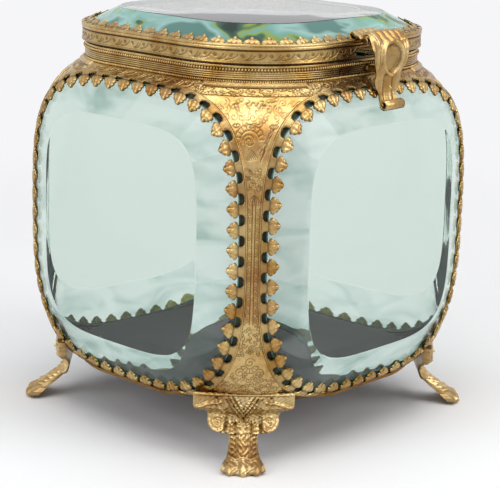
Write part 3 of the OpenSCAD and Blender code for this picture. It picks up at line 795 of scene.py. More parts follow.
def corner_post_skin():
    """Engraved hourglass sheet between two panes.

    A row at one height is the straight chord from pane to pane, pushed out by the swell
    times (1 - u^2), u running from -1 to 1 along it, and pressed in along the engraved
    strokes; a coarser row closes the back 0.9 mm behind.
    """
    skin = Skin()
    rows, cols, back_cols = 420, 124, 9
    root = math.sqrt(2)
    height = np.linspace(POST["low"], POST["high"], rows)[:, None]
    half = half_at(height, POST["grow"])
    chord = (POST["plane"] - half) * root
    slope = np.abs(np.gradient(half[:, 0], height[:, 0]))[:, None]
    level = 1 / np.sqrt(1 + slope ** 2)
    start = np.minimum(POST["margin"] * root / np.sqrt(1 + level ** 2), 0.4 * chord)

    def sheet(run, crown, lift):
        """Points at a run along the chord: swell and crown rise from it, and lift."""
        rise = (swell(height) + crown) * (1 - (2 * run / chord - 1) ** 2) + lift
        return np.stack([-POST["plane"] + (run - rise) / root, -half - (run + rise) / root,
                         height + 0 * run], axis=-1)

    run = start + (chord - 2 * start) * np.linspace(0, 1, cols)[None, :]
    lines = stroke_depth(run - chord / 2, height + 0 * run, post_strokes(),
                         detail("engraved_line"))
    lines = lines * smooth_step(0.9, 1.5, run) * smooth_step(0.9, 1.5, chord - run)
    front = sheet(run, POST["crown"], -lines * detail("engraving"))
    run = start + (chord - 2 * start) * np.linspace(1, 0, back_cols)[None, :]
    back = sheet(run, 0.0, -POST["thick"])
    # Engraved lines are darkened with tarnish and painted shade, and the back is darkened as
    # painted shade.
    skin.sheet(front, back, lines * 0.9, BACK)
    return skin


def collar_skin():
    """Sloping collar: a ruled sheet from the frame's upper edge to the foot of the neck.

    It holds the running scroll along the sides, curls round the corners, and a plain raised
    tab under the neck at each corner. The strokes lie over a height of 4.6 mm.
    """
    skin = Skin()
    count, rows, tall = 1400, 30, COLLAR["tall"]
    share = np.arange(count) / count
    seat = square_ring(*COLLAR["seat"], 0.0, count)[:, :2]
    edge = square_ring(*COLLAR["edge"], 0.0, count)[:, :2]
    reach = np.min(np.abs(edge), axis=1)
    middle = 1 - smooth_step(13, 25, reach)
    foot = COLLAR["foot"] + COLLAR["dip"] * middle
    low = edge + (seat - edge) * (0.2 * middle)[:, None]

    def ruled(t, drop, lift):
        """Points at shares t of the way up, dropped, and lifted along the outward slope."""
        plan = low[None] * (1 - t[..., None]) + seat[None] * t[..., None]
        risen = np.minimum(t, 1)
        height = foot[None] * (1 - risen) + NECK["low"] * risen - drop
        away = plan / np.linalg.norm(plan, axis=-1, keepdims=True)
        out, up = lift
        return np.concatenate([plan + away * out, height[..., None] + up], axis=-1)

    t = np.linspace(0, 1, rows)[:, None]
    pitch = detail("scroll_pitch")
    length = square_length(45.0, 32.0)
    along = np.mod(share * round(length / pitch), 1)[None, :] * pitch + 0 * t
    up = tall * t + 0 * along
    lines = stroke_depth(along, up, scroll_strokes(pitch, 0.4, 4.3),
                         detail("engraved_line") * 1.3)
    dice = np.random.default_rng(5)
    ground = np.concatenate(curl_field(dice, 0.3, tall, lambda z: 0.5 * length / 8, 1.9))
    close = stroke_depth((np.mod(share * 8, 1)[None, :] - 0.5) * length / 8 + 0 * t, up, ground,
                         detail("engraved_line") * 1.2)
    corner = smooth_step(20, 24, reach)[None]
    lines = lines * (1 - corner) + close * corner
    tab = smooth_step(23.5, 24.2, reach)[None] * smooth_step(0.66, 0.72, t)
    groove = smooth_step(23.5, 24.2, reach)[None] * bell(t - 0.64, 0.035)
    lines = np.maximum(lines * (1 - tab), groove)
    lift = (0.4 * tab - 1.1 * detail("engraving") * lines)[..., None]
    front = ruled(t, 0.0, (lift * 0.6, lift * 0.8))
    # The back runs on under the neck, so that no light shows between the two.
    back = ruled(np.array([1.45, 1.45, 0.5, 0])[:, None],
                 np.array([0.05, 0.7, 0.7, 0.7])[:, None], (-0.25, 0.0))
    # Engraved lines are darkened with tarnish and painted shade, and the back is darkened as
    # painted shade.
    skin.sheet(front.transpose(1, 0, 2), back.transpose(1, 0, 2), lines.T * 0.9, DEEP,
               ring=True)
    return skin


def neck_skin():
    """Reeded neck: a profile carried round a rounded square, and two lines of beads.

    The reeds are the absolute sine of the height. A bead line is a small round bar whose
    radius swells with the absolute sine of the running length. The metal near the clasp is
    darkened as a painted shade.
    """
    skin = Skin()
    half, corner = NECK["half"], NECK["corner"]
    length = square_length(half, corner)
    reed_low, reed_high, reed_count = 105.05, 107.25, 4
    reed_z = np.linspace(reed_low, reed_high, 25)
    reeds = 0.16 * np.abs(np.sin((reed_z - reed_low) / (reed_high - reed_low) * math.pi
                                 * reed_count)) - 0.04
    outer = np.concatenate([
        [[-0.05, 104.2], [0.0, 104.3], [-0.05, 104.95]], np.stack([reeds, reed_z], axis=-1),
        [[-0.06, 107.4], [-0.02, 108.15], [0.12, 108.3], [0.16, 108.7], [0.1, 108.9],
         [-0.1, 109.0], [-0.5, 109.05], [-0.6, 109.44]],
        [[-0.95, 109.44], [-1.0, 109.0], [-1.0, 104.3], [-0.95, 104.2]]])
    # The reed troughs are darkened with tarnish and painted shade; the foot of the neck, its
    # top in the gap under the lid and its inner side get painted shade.
    dark = np.concatenate([[1.0, 0.7, 0.7], np.clip(0.85 - reeds * 7, 0, 0.85),
                           [0.8, 0.6, 0, 0, 0.1, 1, 1, 1], [1, 0.9, 0.6, 0.6]])
    run = np.linspace(0, length, 481)[:-1, None]
    away = np.abs(np.mod(run - CLASP_X + length / 2 + 9, length) - length / 2)
    # Painted shade darkens the neck next to the clasp.
    painted_clasp_shade = 0.6 * (1 - smooth_step(5, 17, away))
    skin.add(swept_profile(half, corner, run, outer), np.clip(dark[None, :] + painted_clasp_shade, 0, 1),
             ring=True)
    for middle, bead, radius in ((104.58, "fine_bead", 0.32), (107.78, "rope_bead", 0.42)):
        count = round(length / detail(bead))
        run = np.arange(count * 6)[:, None] / (count * 6) * length
        beads = np.abs(np.sin(run / length * count * math.pi))
        turn = np.radians([-100, -40, 0, 40, 100])[None, :]
        size = radius * (0.3 + 0.7 * beads)
        points = swept_square(half, corner, run, 0.14 + size * np.cos(turn),
                              middle + size * np.sin(turn) * 1.15)
        # The darkening between the beads is painted shade.
        skin.add(points, (1 - beads) * 0.9 + 0 * turn, ring=True)
    return skin


def lid_band_skin():
    """Lid band: engraved skirt, open behind the clasp, under a rim that runs all round."""
    skin = Skin()
    half, corner = LID["half"], LID["corner"]
    length = square_length(half, corner)
    count = 1100
    run = np.linspace(CLASP_X + CLASP_GAP, length + CLASP_X - CLASP_GAP, count)[:, None]
    low_z = np.concatenate([[LID["low"], 109.6, 109.8, 109.95],
                            np.linspace(110.1, LID["seam"], 15)])
    stand = np.concatenate([[0.0, 0.16, 0.16, 0.02], np.zeros(15)])
    pitch = detail("scroll_pitch")
    along = np.mod(run / length * round(length / pitch), 1) * pitch
    lines = stroke_depth(np.repeat(along.T, len(low_z), axis=0),
                         np.repeat(low_z[:, None], count, axis=1),
                         scroll_strokes(pitch, 110.2, 112.4),
                         detail("engraved_line") * 1.05).T
    outer = swept_square(half, corner, run,
                         stand[None, :] - 1.1 * detail("engraving") * lines, low_z[None, :])
    inner = swept_profile(half, corner, run,
                          np.array([[-0.8, LID["seam"]], [-0.8, LID["low"]]]))
    # Painted shade along the lower edge, in the gap above the neck; engraved lines are darkened
    # with tarnish and painted shade.
    shade = np.interp(low_z, [LID["low"], 109.7, 109.9, 109.95, 110.1],
                      [1, 0.3, 0.1, 0.8, 0.15])
    skin.sheet(outer, inner, lines * 0.9 + shade[None, :], 1.0)
    rim = np.array([
        [-0.05, LID["seam"]], [0.0, 112.55], [-0.02, 112.7], [-0.28, 112.8], [-0.28, 113.0],
        [0.0, 113.12], [0.15, 113.25], [0.18, 113.55], [0.15, 113.85], [0.02, LID["high"]],
        [-0.8, LID["high"]], [-0.8, 112.42], [-3.1, 112.42], [-3.1, 111.62], [-0.82, 111.62],
        [-0.6, 112.0]])
    # The rim's groove and its inner faces are darkened as painted shade.
    dark = np.array([0.1, 0.1, 0.4, 1, 1, 0.4, 0, 0, 0, 0, 0.4, 0.7, 0.7, 0.8, 0.8, 0.7])
    run = np.linspace(0, length, 481)[:-1, None]
    skin.add(swept_profile(half, corner, run, rim), dark, ring=True)
    return skin


def lid_gallery_skin():
    """Prongs that reach over the lid glass, on a strip along the rim."""
    skin = Skin()
    half, corner = LID_GALLERY["half"], LID_GALLERY["corner"]
    length = square_length(half, corner)
    centres = ((np.arange(LID_PRONGS) + 0.5) * length / LID_PRONGS)[:, None, None]
    x, v, height, dark = prong_heads(LID_PRONG_ROWS, 1.7, 2.75)

    def over_lid(run, reach, lift):
        """Flat over the first half millimetre, then leaning up with the bevel."""
        climb = (reach - 0.5 + np.sqrt((reach - 0.5) ** 2 + 0.16)) / 2
        return swept_square(half, corner, run, -reach * 0.93 - lift * 0.45,
                            LID_GALLERY["seat"] + climb * LID_GALLERY["climb"] + lift * 0.9)

    front = over_lid(centres + x, v + 0 * centres, 0.35 + detail("prong_relief") * height)
    back = over_lid(centres + x[:, [-1, 0]], v[:, :2] + 0 * centres, 0 * centres)
    # The prong backs get a bright moss green: painted light on a shaded side.
    skin.sheet(front, back, dark, PAINTED_BACK_LIGHT)
    strip = np.array([[0.6, 114.02], [0.68, 114.3], [0.6, 114.55], [0.4, 114.68], [0.1, 114.66],
                      [-0.1, 114.5], [-0.1, 114.02]])
    run = np.linspace(0, length, 481)[:-1, None]
    skin.add(swept_profile(half, corner, run, strip), 0.05, ring=True)
    return skin


def side_glass_skin():
    """Pane with a ground edge, one long bevel and a raised flat; rings joined in order."""
    skin = Skin()
    loops = []
    turn = np.arange(288) * 2 * math.pi / 288
    edge = [(OPENING | dict(wide=OPENING["wide"] - inset, tall=OPENING["tall"] - inset), 0.0,
             depth)
            for inset, depth in ((0.9, 44.5), (0.5, 44.55), (0.2, 44.9), (0.2, 46.7),
                                 (0.35, 46.95))]
    flat = [(dict(wide=wide, tall=tall, upper=4.57, lower=4.15), 0.6, depth)
            for wide, tall, depth in ((31.0, 32.2, 52.08), (30.75, 31.95, 52.18),
                                      (30.4, 31.6, 52.2))]
    for shape, rise, depth in edge + flat:
        u, w = oval(turn, **shape)
        loops.append(np.stack([u, np.full_like(u, -depth), OPENING_CENTRE + rise + w],
                              axis=-1))
    skin.add(np.stack(loops), slot=[2, 2, 2, 2, 1, 0, 0])
    return skin


def lid_glass_skin():
    """Lid pane: ground edge, one long bevel and a raised flat."""
    skin = Skin()
    loops = [square_ring(half, corner, height, 320) for half, corner, height in (
        (41.4, 26.4, 112.45), (42.0, 27.0, 112.7), (42.0, 27.0, 113.8), (41.8, 26.9, 114.05),
        (33.2, 20.2, 118.86), (32.95, 19.95, 118.97), (32.6, 19.6, 119.0))]
    skin.add(np.stack(loops), slot=[2, 2, 2, 1, 0, 0])
    return skin


# Foot: outer and inner distance from the middle, and half width, each by height in mm.
FOOT_OUTER = np.array([
    [20.5, 57.0], [16.4, 56.9], [14.6, 55.9], [13.6, 54.7], [12.2, 54.5], [10.4, 55.3],
    [8.5, 57.1], [6.5, 59.6], [4.8, 62.0], [3.2, 64.4], [2.2, 66.2], [1.0, 67.0], [0.0, 66.6]])
FOOT_INNER = np.array([
    [20.5, 53.4], [15.0, 52.8], [12.4, 52.4], [10.2, 52.9], [7.7, 54.5], [5.4, 57.0],
    [3.4, 59.6], [1.5, 61.9], [0.0, 62.8]])
FOOT_HALF = np.array([
    [20.5, 13.9], [16.4, 13.9], [15.6, 13.5], [15.1, 12.7], [14.6, 10.8], [13.8, 10.0],
    [12.4, 9.75], [11.5, 9.9], [10.4, 9.65], [9.5, 9.0], [8.95, 8.1], [8.75, 7.3],
    [8.65, 4.35], [8.2, 4.15], [7.4, 4.05], [6.2, 4.0], [4.8, 4.2], [3.2, 4.8], [2.1, 5.8],
    [1.2, 6.1], [0.5, 5.3], [0.0, 4.0]])
NEAR_FOOT_SLIDE = -1.2


def foot_relief(x, z):
    """Chasing of a foot over width and height: ridges fall off as bells of their distance.

    A V-shaped leaf with a grained middle sits on the plate, side leaves run out to two
    domed volutes, two bead rows and two rods run down the ankle, and three toes end it.
    """
    side = np.abs(x)
    height = 0.6 * bell(z - 20.0, 0.4) + 0.35 * bell(z - 15.6 - 0.05 * side, 0.4) * (side > 5)
    leaf = smooth_step(11.0, 12.0, z) * smooth_step(19.6, 18.8, z)
    for step, (start, slope) in enumerate(((11.6, 0.62), (13.2, 0.6), (15.0, 0.56))):
        vee = side - np.maximum(z - start, -0.3) * slope
        rope = 0.75 + 0.25 * np.sin(z * 7.5 + step)
        height += (0.95 - 0.15 * step) * bell(vee, 0.33) * leaf * rope * (z > start)
    spray = side - 5.0 - 2.4 * smooth_step(12.8, 18.5, z)
    height += 0.75 * bell(spray, 0.45) * ((z > 13.0) & (z < 19.0))
    sweep = z - (17.9 - 0.03 * (side - 5) ** 2)
    height += 0.7 * bell(sweep, 0.45) * smooth_step(5.4, 6.8, side)
    scroll_x, scroll_z = 7.15, 11.5
    reach = np.hypot(side - scroll_x, z - scroll_z)
    angle = np.arctan2(z - scroll_z, side - scroll_x)
    dome = np.sqrt(np.clip(1 - (reach / 2.75) ** 2, 0, 1))
    coil = 0.5 + 0.5 * np.cos(reach * 4.6 - angle)
    height += 1.25 * dome * (0.6 + 0.4 * coil)
    height -= 1.1 * bell(np.hypot((side - 4.9) / 0.6, (z - 10.6) / 1.8), 1.0)
    ankle = smooth_step(12.2, 11.2, z) * smooth_step(3.6, 4.4, z)
    beads = np.abs(np.sin(z * math.pi / 0.95)) ** 0.6
    height += ankle * 0.7 * beads * bell(side - 3.15, 0.45)
    twist = 0.7 + 0.3 * np.sin(z * 5.0 - 3.0 * side)
    height += ankle * 0.85 * twist * bell(side - 1.15, 0.5)
    height -= ankle * 0.35 * bell(side - 2.2, 0.3)
    height += 0.6 * bell(np.hypot(x / 0.7, (z - 5.0) / 1.3), 1.0)
    toes = smooth_step(4.4, 3.0, z)
    height += toes * (1.1 * bell(side - 3.9, 0.9) + 1.2 * bell(x, 1.1) - 0.6)
    height += 0.45 * bell(z - 4.1 - 0.3 * np.cos(side * 1.6), 0.3) * (side < 4.2)
    height += 0.12 * np.sin(x * 4.1 + 2 * np.sin(z * 1.9)) * np.sin(z * 3.7 + np.sin(x))
    return height


def foot_skin(slide=0.0):
    """Cast foot as a stack of level loops with a chased front and a smooth back.

    slide shifts it sideways along its corner of the frame. A loop's front spans the half
    width for its height, lies crown times c^4 deeper toward its ends, c being the share of
    that width, and is chased by foot_relief; its back is a short row on the inner profile.
    """
    skin = Skin()
    z = np.concatenate([np.linspace(0.05, 8.6, 78), np.linspace(8.67, 9.0, 5),
                        np.linspace(9.1, 20.5, 104)])[:, None]
    half = read_off(FOOT_HALF, z)
    outer = read_off(FOOT_OUTER, z[:, 0])
    kernel = np.hanning(11)
    outer = np.convolve(np.pad(outer, 5, mode="edge"), kernel / kernel.sum(), "valid")[:, None]
    inner = read_off(FOOT_INNER, z)
    c = np.sin(np.linspace(-math.pi / 2, math.pi / 2, 141))[None, :]
    x = half * c
    height = foot_relief(x, z + 0 * x)
    crown = np.where(z < 8.65, 1.6, 0.9)
    radial = outer - 0.9 - crown * np.abs(c) ** 4 + height * (1 - np.abs(c) ** 12)
    back_c = np.linspace(0.96, -0.96, 7)[None, :]
    # Hollows and low spots are darkened with tarnish and painted shade; the back gets painted
    # shade.
    dark = np.clip(cavity(height, 2, 3.2) + 0.25 - 0.3 * height, 0, 1)

    def placed(lateral, distance, level):
        """Turn from the diagonal of the front left corner into the frame."""
        return np.stack([(lateral - distance) * math.sqrt(0.5),
                         (-lateral - distance) * math.sqrt(0.5), level], axis=-1)

    front = placed(x + slide, radial, z + 0 * x)
    back = placed(half * back_c + slide, inner + 0 * back_c, z + 0 * back_c)
    skin.sheet(front, back, dark, BACK)
    return skin


# Clasp: side profile (distance out, height) and half width by height.
CLASP_LINE = np.array([
    [45.9, 116.1], [46.8, 116.45], [47.9, 116.4], [48.9, 115.8], [49.8, 114.9], [50.5, 113.7],
    [50.95, 112.3], [51.1, 110.8], [51.0, 109.4], [50.8, 108.0], [50.5, 106.7], [50.2, 105.4],
    [49.95, 104.1], [49.85, 102.9], [49.85, 101.7], [49.95, 100.5], [50.2, 99.3], [50.55, 98.1],
    [50.95, 97.0]])
CLASP_HALF = np.array([
    [96.0, 3.7], [98.4, 3.6], [99.8, 3.6], [100.8, 3.9], [101.7, 4.6], [102.8, 5.2],
    [104.0, 5.4], [105.2, 5.2], [106.4, 5.6], [107.6, 6.3], [109.0, 7.0], [110.4, 7.2],
    [111.6, 7.3], [112.8, 7.9], [114.2, 7.95], [115.6, 7.5], [116.6, 6.6], [118.0, 5.6]])
# Middle (distance out, height), radius, bore and half length of its rolled end.
CURL = dict(middle=(51.9, 97.3), radius=1.45, bore=0.85, half=3.9)
CLASP_AXIS = (45.4, 114.3)
CLASP_THICK = 0.9


def clasp_relief(x, z):
    """Chasing of the clasp: pear medallion with a rim, side scrolls, tail ribs and a dot."""
    side = np.abs(x)
    wide = 3.9 + 0.24 * (z - 109.4)
    pear = np.hypot(x / np.clip(wide, 1.6, 4.9), (z - 109.9) / 4.3)
    height = 0.75 * bell((pear - 1.0) * 3.4, 0.55) - 0.35 * (pear < 0.86)
    height += 0.65 * bell(side - 6.0 - 0.1 * (z - 110), 0.5) * smooth_step(105.5, 108, z)
    height += 0.35 * bell(side - 5.1 - 0.12 * (z - 110), 0.3) * smooth_step(107, 109, z)
    tail = smooth_step(106.6, 104.8, z)
    height += tail * (0.5 * bell(side - 3.3, 0.55) + 0.5 * bell(x, 0.8)
                      - 0.25 * bell(side - 1.9, 0.6))
    height += 0.5 * bell(np.hypot(x - 0.3, z - 101.6), 0.5)
    crest = smooth_step(113.6, 114.6, z)
    height += crest * 0.45 * np.abs(np.cos(x * 1.25))
    return height


def tube(centre_out, centre_z, radius, bore, first, last):
    """Short open tube along the front: outer and inner circles joined by flat ends."""
    turn = np.linspace(0, 2 * math.pi, 33)[:-1]
    rims = np.array([[radius - 0.12, first], [radius, first + 0.12], [radius, last - 0.12],
                     [radius - 0.12, last], [bore + 0.08, last], [bore, last - 0.1],
                     [bore, first + 0.1], [bore + 0.08, first]])
    r, x = rims[None, :, 0], rims[None, :, 1]
    y = -(centre_out + r * np.cos(turn[:, None]))
    z = centre_z + r * np.sin(turn[:, None])
    return np.stack([x + 0 * y, y, z], axis=-1)


def clasp_skin():
    """Chased cartouche along its bent side profile, with its barrel and its rolled end."""
    skin = Skin()
    steps = np.concatenate([[0], np.cumsum(np.hypot(*np.diff(CLASP_LINE, axis=0).T))])
    s = np.linspace(0, steps[-1], 96)
    out = np.interp(s, steps, CLASP_LINE[:, 0])
    z = np.interp(s, steps, CLASP_LINE[:, 1])
    way = np.stack([np.gradient(out), np.gradient(z)], axis=-1)
    way /= np.linalg.norm(way, axis=1, keepdims=True)
    aside, above = -way[:, 1:], way[:, :1]
    half = read_off(CLASP_HALF, z)[:, None]
    c = np.linspace(-1, 1, 61)[None, :]

    def plate(across, lift):
        """Points across the profile, lifted along its normal."""
        return np.stack([CLASP_X + half * across,
                         -(out[:, None] + aside * lift) + 0 * across,
                         z[:, None] + above * lift + 0 * across], axis=-1)

    height = clasp_relief(half * c, z[:, None] + 0 * c)
    front = plate(c, CLASP_THICK / 2 + height * (1 - c ** 10) - 0.5 * c ** 4)
    back = plate(np.linspace(0.97, -0.97, 5)[None, :], -CLASP_THICK / 2)
    # Hollows and low spots are darkened with tarnish and painted shade; the back gets painted
    # shade.
    dark = np.clip(cavity(height, 2, 3.0) + 0.2 - 0.3 * height, 0, 1)
    skin.sheet(front, back, dark, DEEP)
    skin.add(tube(*CURL["middle"], CURL["radius"], CURL["bore"], CLASP_X - CURL["half"],
                  CLASP_X + CURL["half"]), 0.1, ring=True)
    skin.add(tube(*CLASP_AXIS, 1.3, 0.56, CLASP_X - 3.2, CLASP_X + 3.2), 0.5, ring=True)
    return skin


def bracket_skin():
    """Leaf over the lid prongs, rising with them, with the two lugs that hold the pin."""
    skin = Skin()
    t = np.linspace(0, 1, 22)[:, None]
    c = np.linspace(-1, 1, 57)[None, :]
    half = 6.2 - 1.0 * t ** 2
    x = half * c
    out = 45.0 - 5.0 * t + 0.9 * np.abs(c) ** 2 * t
    rise = 115.0 + 0.75 * smooth_step(0, 0.25, t) + 0.9 * smooth_step(0.3, 1.0, t)
    ribs = 0.35 * np.abs(np.cos(x * (1.15 + 0.25 * t)))
    z = rise - 0.35 * c ** 2 + ribs
    front = np.stack([CLASP_X + x, -out, z], axis=-1)
    back_c = np.linspace(0.97, -0.97, 5)[None, :]
    back = np.stack([CLASP_X + half * back_c, -(45.0 - 5.0 * t) + 0 * back_c,
                     rise - 0.75 + 0 * back_c], axis=-1)
    # The hollows between the ribs are darkened with tarnish and painted shade, and the back
    # gets painted shade.
    skin.sheet(front, back, np.clip(0.5 - ribs * 2.4, 0, 1), DEEP)
    for side in (-1, 1):
        near = CLASP_X + side * 3.55
        far = CLASP_X + side * 4.9
        skin.add(tube(*CLASP_AXIS, 1.0, 0.5, min(near, far), max(near, far)), 0.4, ring=True)
        arm = np.array([[44.8, 114.0], [43.3, 114.75], [43.3, 115.5], [44.8, 115.35]])
        ends = np.array([near, far])[:, None]
        skin.add(np.stack([ends + 0 * arm[None, :, 0], -arm[None, :, 0] + 0 * ends,
                           arm[None, :, 1] + 0 * ends], axis=-1), 0.5)
    return skin


def floor_pad_skin():
    """Velvet pad: rounded-square rings that roll over the edge and close on a level top."""
    skin = Skin()
    loops = [square_ring(half, corner, height, 240) for half, corner, height in (
        (42.3, 30.6, 17.62), (42.8, 31.1, 17.8), (42.9, 31.2, 18.1), (42.7, 31.0, 18.4),
        (42.1, 30.4, 18.56))]
    rim = loops[-1]
    for share in np.linspace(0.97, 0.03, 26):
        ring = rim * np.array([share, share, 1.0])
        ring[:, 2] = 18.57 + 0.05 * np.sin(ring[:, 0] * 0.32 + 1) * np.cos(ring[:, 1] * 0.27)
        loops.append(ring)
    skin.add(np.stack(loops))
    return skin


# Operators

def looked_at(tree):
    """1 where a camera, glossy or transmission ray looks, so that only those see the glow."""
    seen = add_node(tree, "LightPath", out="Is Camera Ray")
    for kind in ("Is Glossy Ray", "Is Transmission Ray"):
        ray = add_node(tree, "LightPath", out=kind)
        seen = add_node(tree, "Math", {0: seen, 1: ray}, operation="MAXIMUM")
    return seen


class CASKET_OT_stage(bpy.types.Operator):
    """Lay the pale ground and set up the soft lamps and the camera"""
    bl_idname = "casket.stage"
    bl_label = "Stage and Camera"

    def execute(self, context):
        scene = context.scene
        ground = colours().ground
        material, tree, spot = new_material("pale_paper_ground")
        fibre = add_node(tree, "TexNoise", {"Vector": spot, "Scale": 1 / (30 * MM),
                                            "Detail": 3.0})
        bump = add_node(tree, "Bump", {"Height": fibre, "Strength": 0.05,
                                       "Distance": 0.1 * MM})
        paper = add_node(tree, "BsdfPrincipled", {"Base Color": ground, "Roughness": 0.85,
                                                  "Normal": bump})
        glow = add_node(tree, "Emission", {"Color": ground, "Strength": 1.0})
        away = add_node(tree, "VectorMath", {0: spot}, "Value", operation="LENGTH")
        fade = add_node(tree, "MapRange", {"Value": away, "From Min": 0.1, "From Max": 0.42},
                        interpolation_type="SMOOTHSTEP")
        share = add_node(tree, "Math", {0: fade, 1: looked_at(tree)}, operation="MULTIPLY")
        mixed = add_node(tree, "MixShader", {0: share, 1: paper, 2: glow})
        add_node(tree, "OutputMaterial", {"Surface": mixed})
        mesh = bpy.data.meshes.new("paper_ground")
        turn = np.arange(96) / 96 * 2 * math.pi
        rim = GROUND_RADIUS * np.stack([np.cos(turn), np.sin(turn), 0 * turn], axis=-1)
        mesh.from_pydata(rim.tolist(), [], [list(range(96))])
        mesh.materials.append(material)
        floor = bpy.data.objects.new("paper_ground", mesh)
        scene.collection.objects.link(floor)

        world = bpy.data.worlds.new("soft_daylight")
        world.use_nodes = True
        tree = world.node_tree
        tree.nodes.clear()
        light = add_node(tree, "Background", {"Color": (0.93, 0.96, 1.0, 1.0),
                                              "Strength": 0.34})
        backdrop = add_node(tree, "Background", {"Color": ground, "Strength": 1.0})
        mixed = add_node(tree, "MixShader", {0: looked_at(tree), 1: light, 2: backdrop})
        add_node(tree, "OutputWorld", {"Surface": mixed})
        scene.world = world

        for name, place, size, power, tint in LAMPS:
            data = bpy.data.lights.new(name, "AREA")
            data.shape = "SQUARE"
            data.size = size
            data.energy = power
            data.color = tint
            lamp = bpy.data.objects.new(name, data)
            aim = Vector((0, 0, 0.06)) - Vector(place)
            lamp.location = place
            lamp.rotation_euler = aim.to_track_quat("-Z", "Y").to_euler()
            scene.collection.objects.link(lamp)

        data = bpy.data.cameras.new("camera")
        data.sensor_width = 36.0
        data.lens = CAMERA["lens"]
        data.shift_x = CAMERA["shift"]
        camera = bpy.data.objects.new("camera", data)
        look = Vector(CAMERA["look"]).normalized()
        level = look.cross(Vector((0, 0, 1))).normalized()
        upright = level.cross(look)
        roll = math.radians(CAMERA["roll"])
        right = level * math.cos(roll) + upright * math.sin(roll)
        upward = upright * math.cos(roll) - level * math.sin(roll)
        turn = Matrix((right, upward, -look)).transposed().to_4x4()
        camera.matrix_world = Matrix.Translation(Vector(CAMERA["place"]) * MM) @ turn
        scene.collection.objects.link(camera)
        scene.camera = camera
        scene.view_settings.view_transform = "Standard"
        return {"FINISHED"}


class CASKET_OT_galleries(bpy.types.Operator):
    """Fold the pierced prong galleries round the four openings and the lid"""
    bl_idname = "casket.galleries"
    bl_label = "Prong Galleries"

    def execute(self, context):
        skin = side_gallery_skin()
        for side, turn in SIDES.items():
            skin.piece(f"pierced_gallery_{side}",
                       ["fire_gilt_stamped_brass", "oxidised_brass_rebate"],
                       f"prong_gallery_{side}", turn=turn)
        lid_gallery_skin().piece("pierced_gallery_lid", ["fire_gilt_stamped_brass"],
                                 "lid_prong_gallery", body="lid")
        return {"FINISHED"}


class CASKET_OT_posts(bpy.types.Operator):
    """Stamp and engrave the four hourglass corner posts"""
    bl_idname = "casket.posts"
    bl_label = "Corner Posts"

    def execute(self, context):
        skin = corner_post_skin()
        for corner, turn in CORNERS.items():
            skin.piece(f"engraved_post_{corner}", ["fire_gilt_stamped_brass"],
                       f"corner_post_{corner}", turn=turn)
        return {"FINISHED"}


class CASKET_OT_bands(bpy.types.Operator):
    """Roll the shoulder collar, the reeded neck and the engraved lid band"""
    bl_idname = "casket.bands"
    bl_label = "Collar, Neck and Lid Band"

    def execute(self, context):
        for skin, name, node, body in (
                (collar_skin(), "engraved_collar", "shoulder_collar", "casket"),
                (neck_skin(), "beaded_neck", "neck_band", "casket"),
                (lid_band_skin(), "engraved_lid_band", "lid_band", "lid")):
            skin.piece(name, ["fire_gilt_stamped_brass"], node, body=body)
        return {"FINISHED"}


class CASKET_OT_glass(bpy.types.Operator):
    """Grind the four bevelled panes and the lid pane"""
    bl_idname = "casket.glass"
    bl_label = "Bevelled Glass"

    def execute(self, context):
        skin = side_glass_skin()
        for side, turn in SIDES.items():
            skin.piece(f"bevelled_pane_{side}",
                       ["polished_plate_glass", "cut_bevel_glass", "ground_glass_edge"],
                       f"glass_{side}", "bevelled_glass", turn=turn, sharp=12)
        lid_glass_skin().piece(
            "bevelled_pane_lid",
            ["polished_plate_glass", "cut_lid_bevel_glass", "ground_glass_edge"],
            "lid_glass", "bevelled_glass", body="lid", sharp=12)
        return {"FINISHED"}


class CASKET_OT_feet(bpy.types.Operator):
    """Cast and chase the four feet"""
    bl_idname = "casket.feet"
    bl_label = "Cast Feet"

    def execute(self, context):
        for corner, turn in CORNERS.items():
            skin = foot_skin(NEAR_FOOT_SLIDE if corner == "front_left" else 0.0)
            skin.piece(f"cast_foot_{corner}", ["gilt_cast_brass"], f"foot_{corner}", turn=turn)
        return {"FINISHED"}


class CASKET_OT_clasp(bpy.types.Operator):
    """Chase the clasp and the leaf bracket that carries it"""
    bl_idname = "casket.clasp"
    bl_label = "Clasp"

    def execute(self, context):
        clasp_skin().piece("chased_clasp", ["gilt_cast_brass"], "clasp", body="clasp")
        bracket_skin().piece("leaf_bracket", ["gilt_cast_brass"], "clasp_bracket", body="lid")
        return {"FINISHED"}


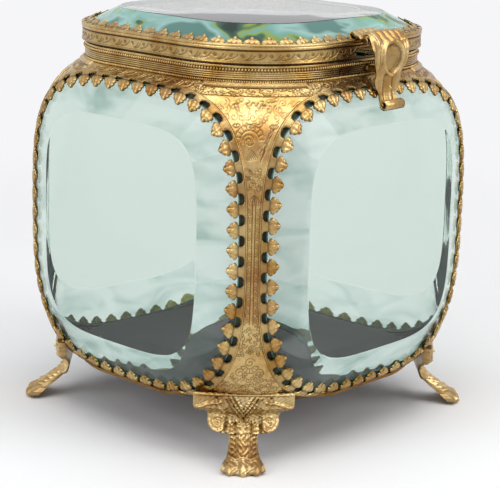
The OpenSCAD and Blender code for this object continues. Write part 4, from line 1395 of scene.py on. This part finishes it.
class CASKET_OT_lining(bpy.types.Operator):
    """Lay the velvet pad on the floor of the casket"""
    bl_idname = "casket.lining"
    bl_label = "Velvet Floor"

    def execute(self, context):
        pad = floor_pad_skin().piece("velvet_floor_pad", ["cotton_velvet"], "floor_pad",
                                     "black_velvet")
        return {"FINISHED"}


class CASKET_OT_kept_parts(bpy.types.Operator):
    """Give the solids that stay their own finishes"""
    bl_idname = "casket.kept_parts"
    bl_label = "Kept Solids"

    def execute(self, context):
        for node in KEPT_NODES:
            wooden = node == "base_board"
            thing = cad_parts[node]
            thing.data.materials.clear()
            thing.data.materials.append(
                finish("stained_softwood_board" if wooden else "tarnished_brass_sheet"))
        return {"FINISHED"}


class CASKET_PT_panel(bpy.types.Panel):
    """Sidebar panel that lists the casket's settings and steps"""
    bl_idname = "CASKET_PT_panel"
    bl_label = "Casket"
    bl_space_type = "VIEW_3D"
    bl_region_type = "UI"
    bl_category = "Casket"

    def draw(self, context):
        layout = self.layout
        for group in (context.scene.casket_sizes, context.scene.casket_colours):
            box = layout.box()
            for key in group.bl_rna.properties.keys():
                if key not in ("rna_type", "name"):
                    box.prop(group, key)
        for step in STEPS:
            layout.operator(step.bl_idname)


STEPS = (CASKET_OT_stage, CASKET_OT_galleries, CASKET_OT_posts, CASKET_OT_bands,
         CASKET_OT_glass, CASKET_OT_feet, CASKET_OT_clasp, CASKET_OT_lining,
         CASKET_OT_kept_parts)
CLASSES = (CasketSizes, CasketColours, *STEPS, CASKET_PT_panel)


def register():
    for item in CLASSES:
        bpy.utils.register_class(item)
    bpy.types.Scene.casket_sizes = bpy.props.PointerProperty(type=CasketSizes)
    bpy.types.Scene.casket_colours = bpy.props.PointerProperty(type=CasketColours)


def unregister():
    del bpy.types.Scene.casket_colours
    del bpy.types.Scene.casket_sizes
    for item in reversed(CLASSES):
        bpy.utils.unregister_class(item)


def main():
    """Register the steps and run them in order."""
    register()
    for step in STEPS:
        group, name = step.bl_idname.split(".")
        getattr(getattr(bpy.ops, group), name)()


if __name__ == "__main__":
    main()
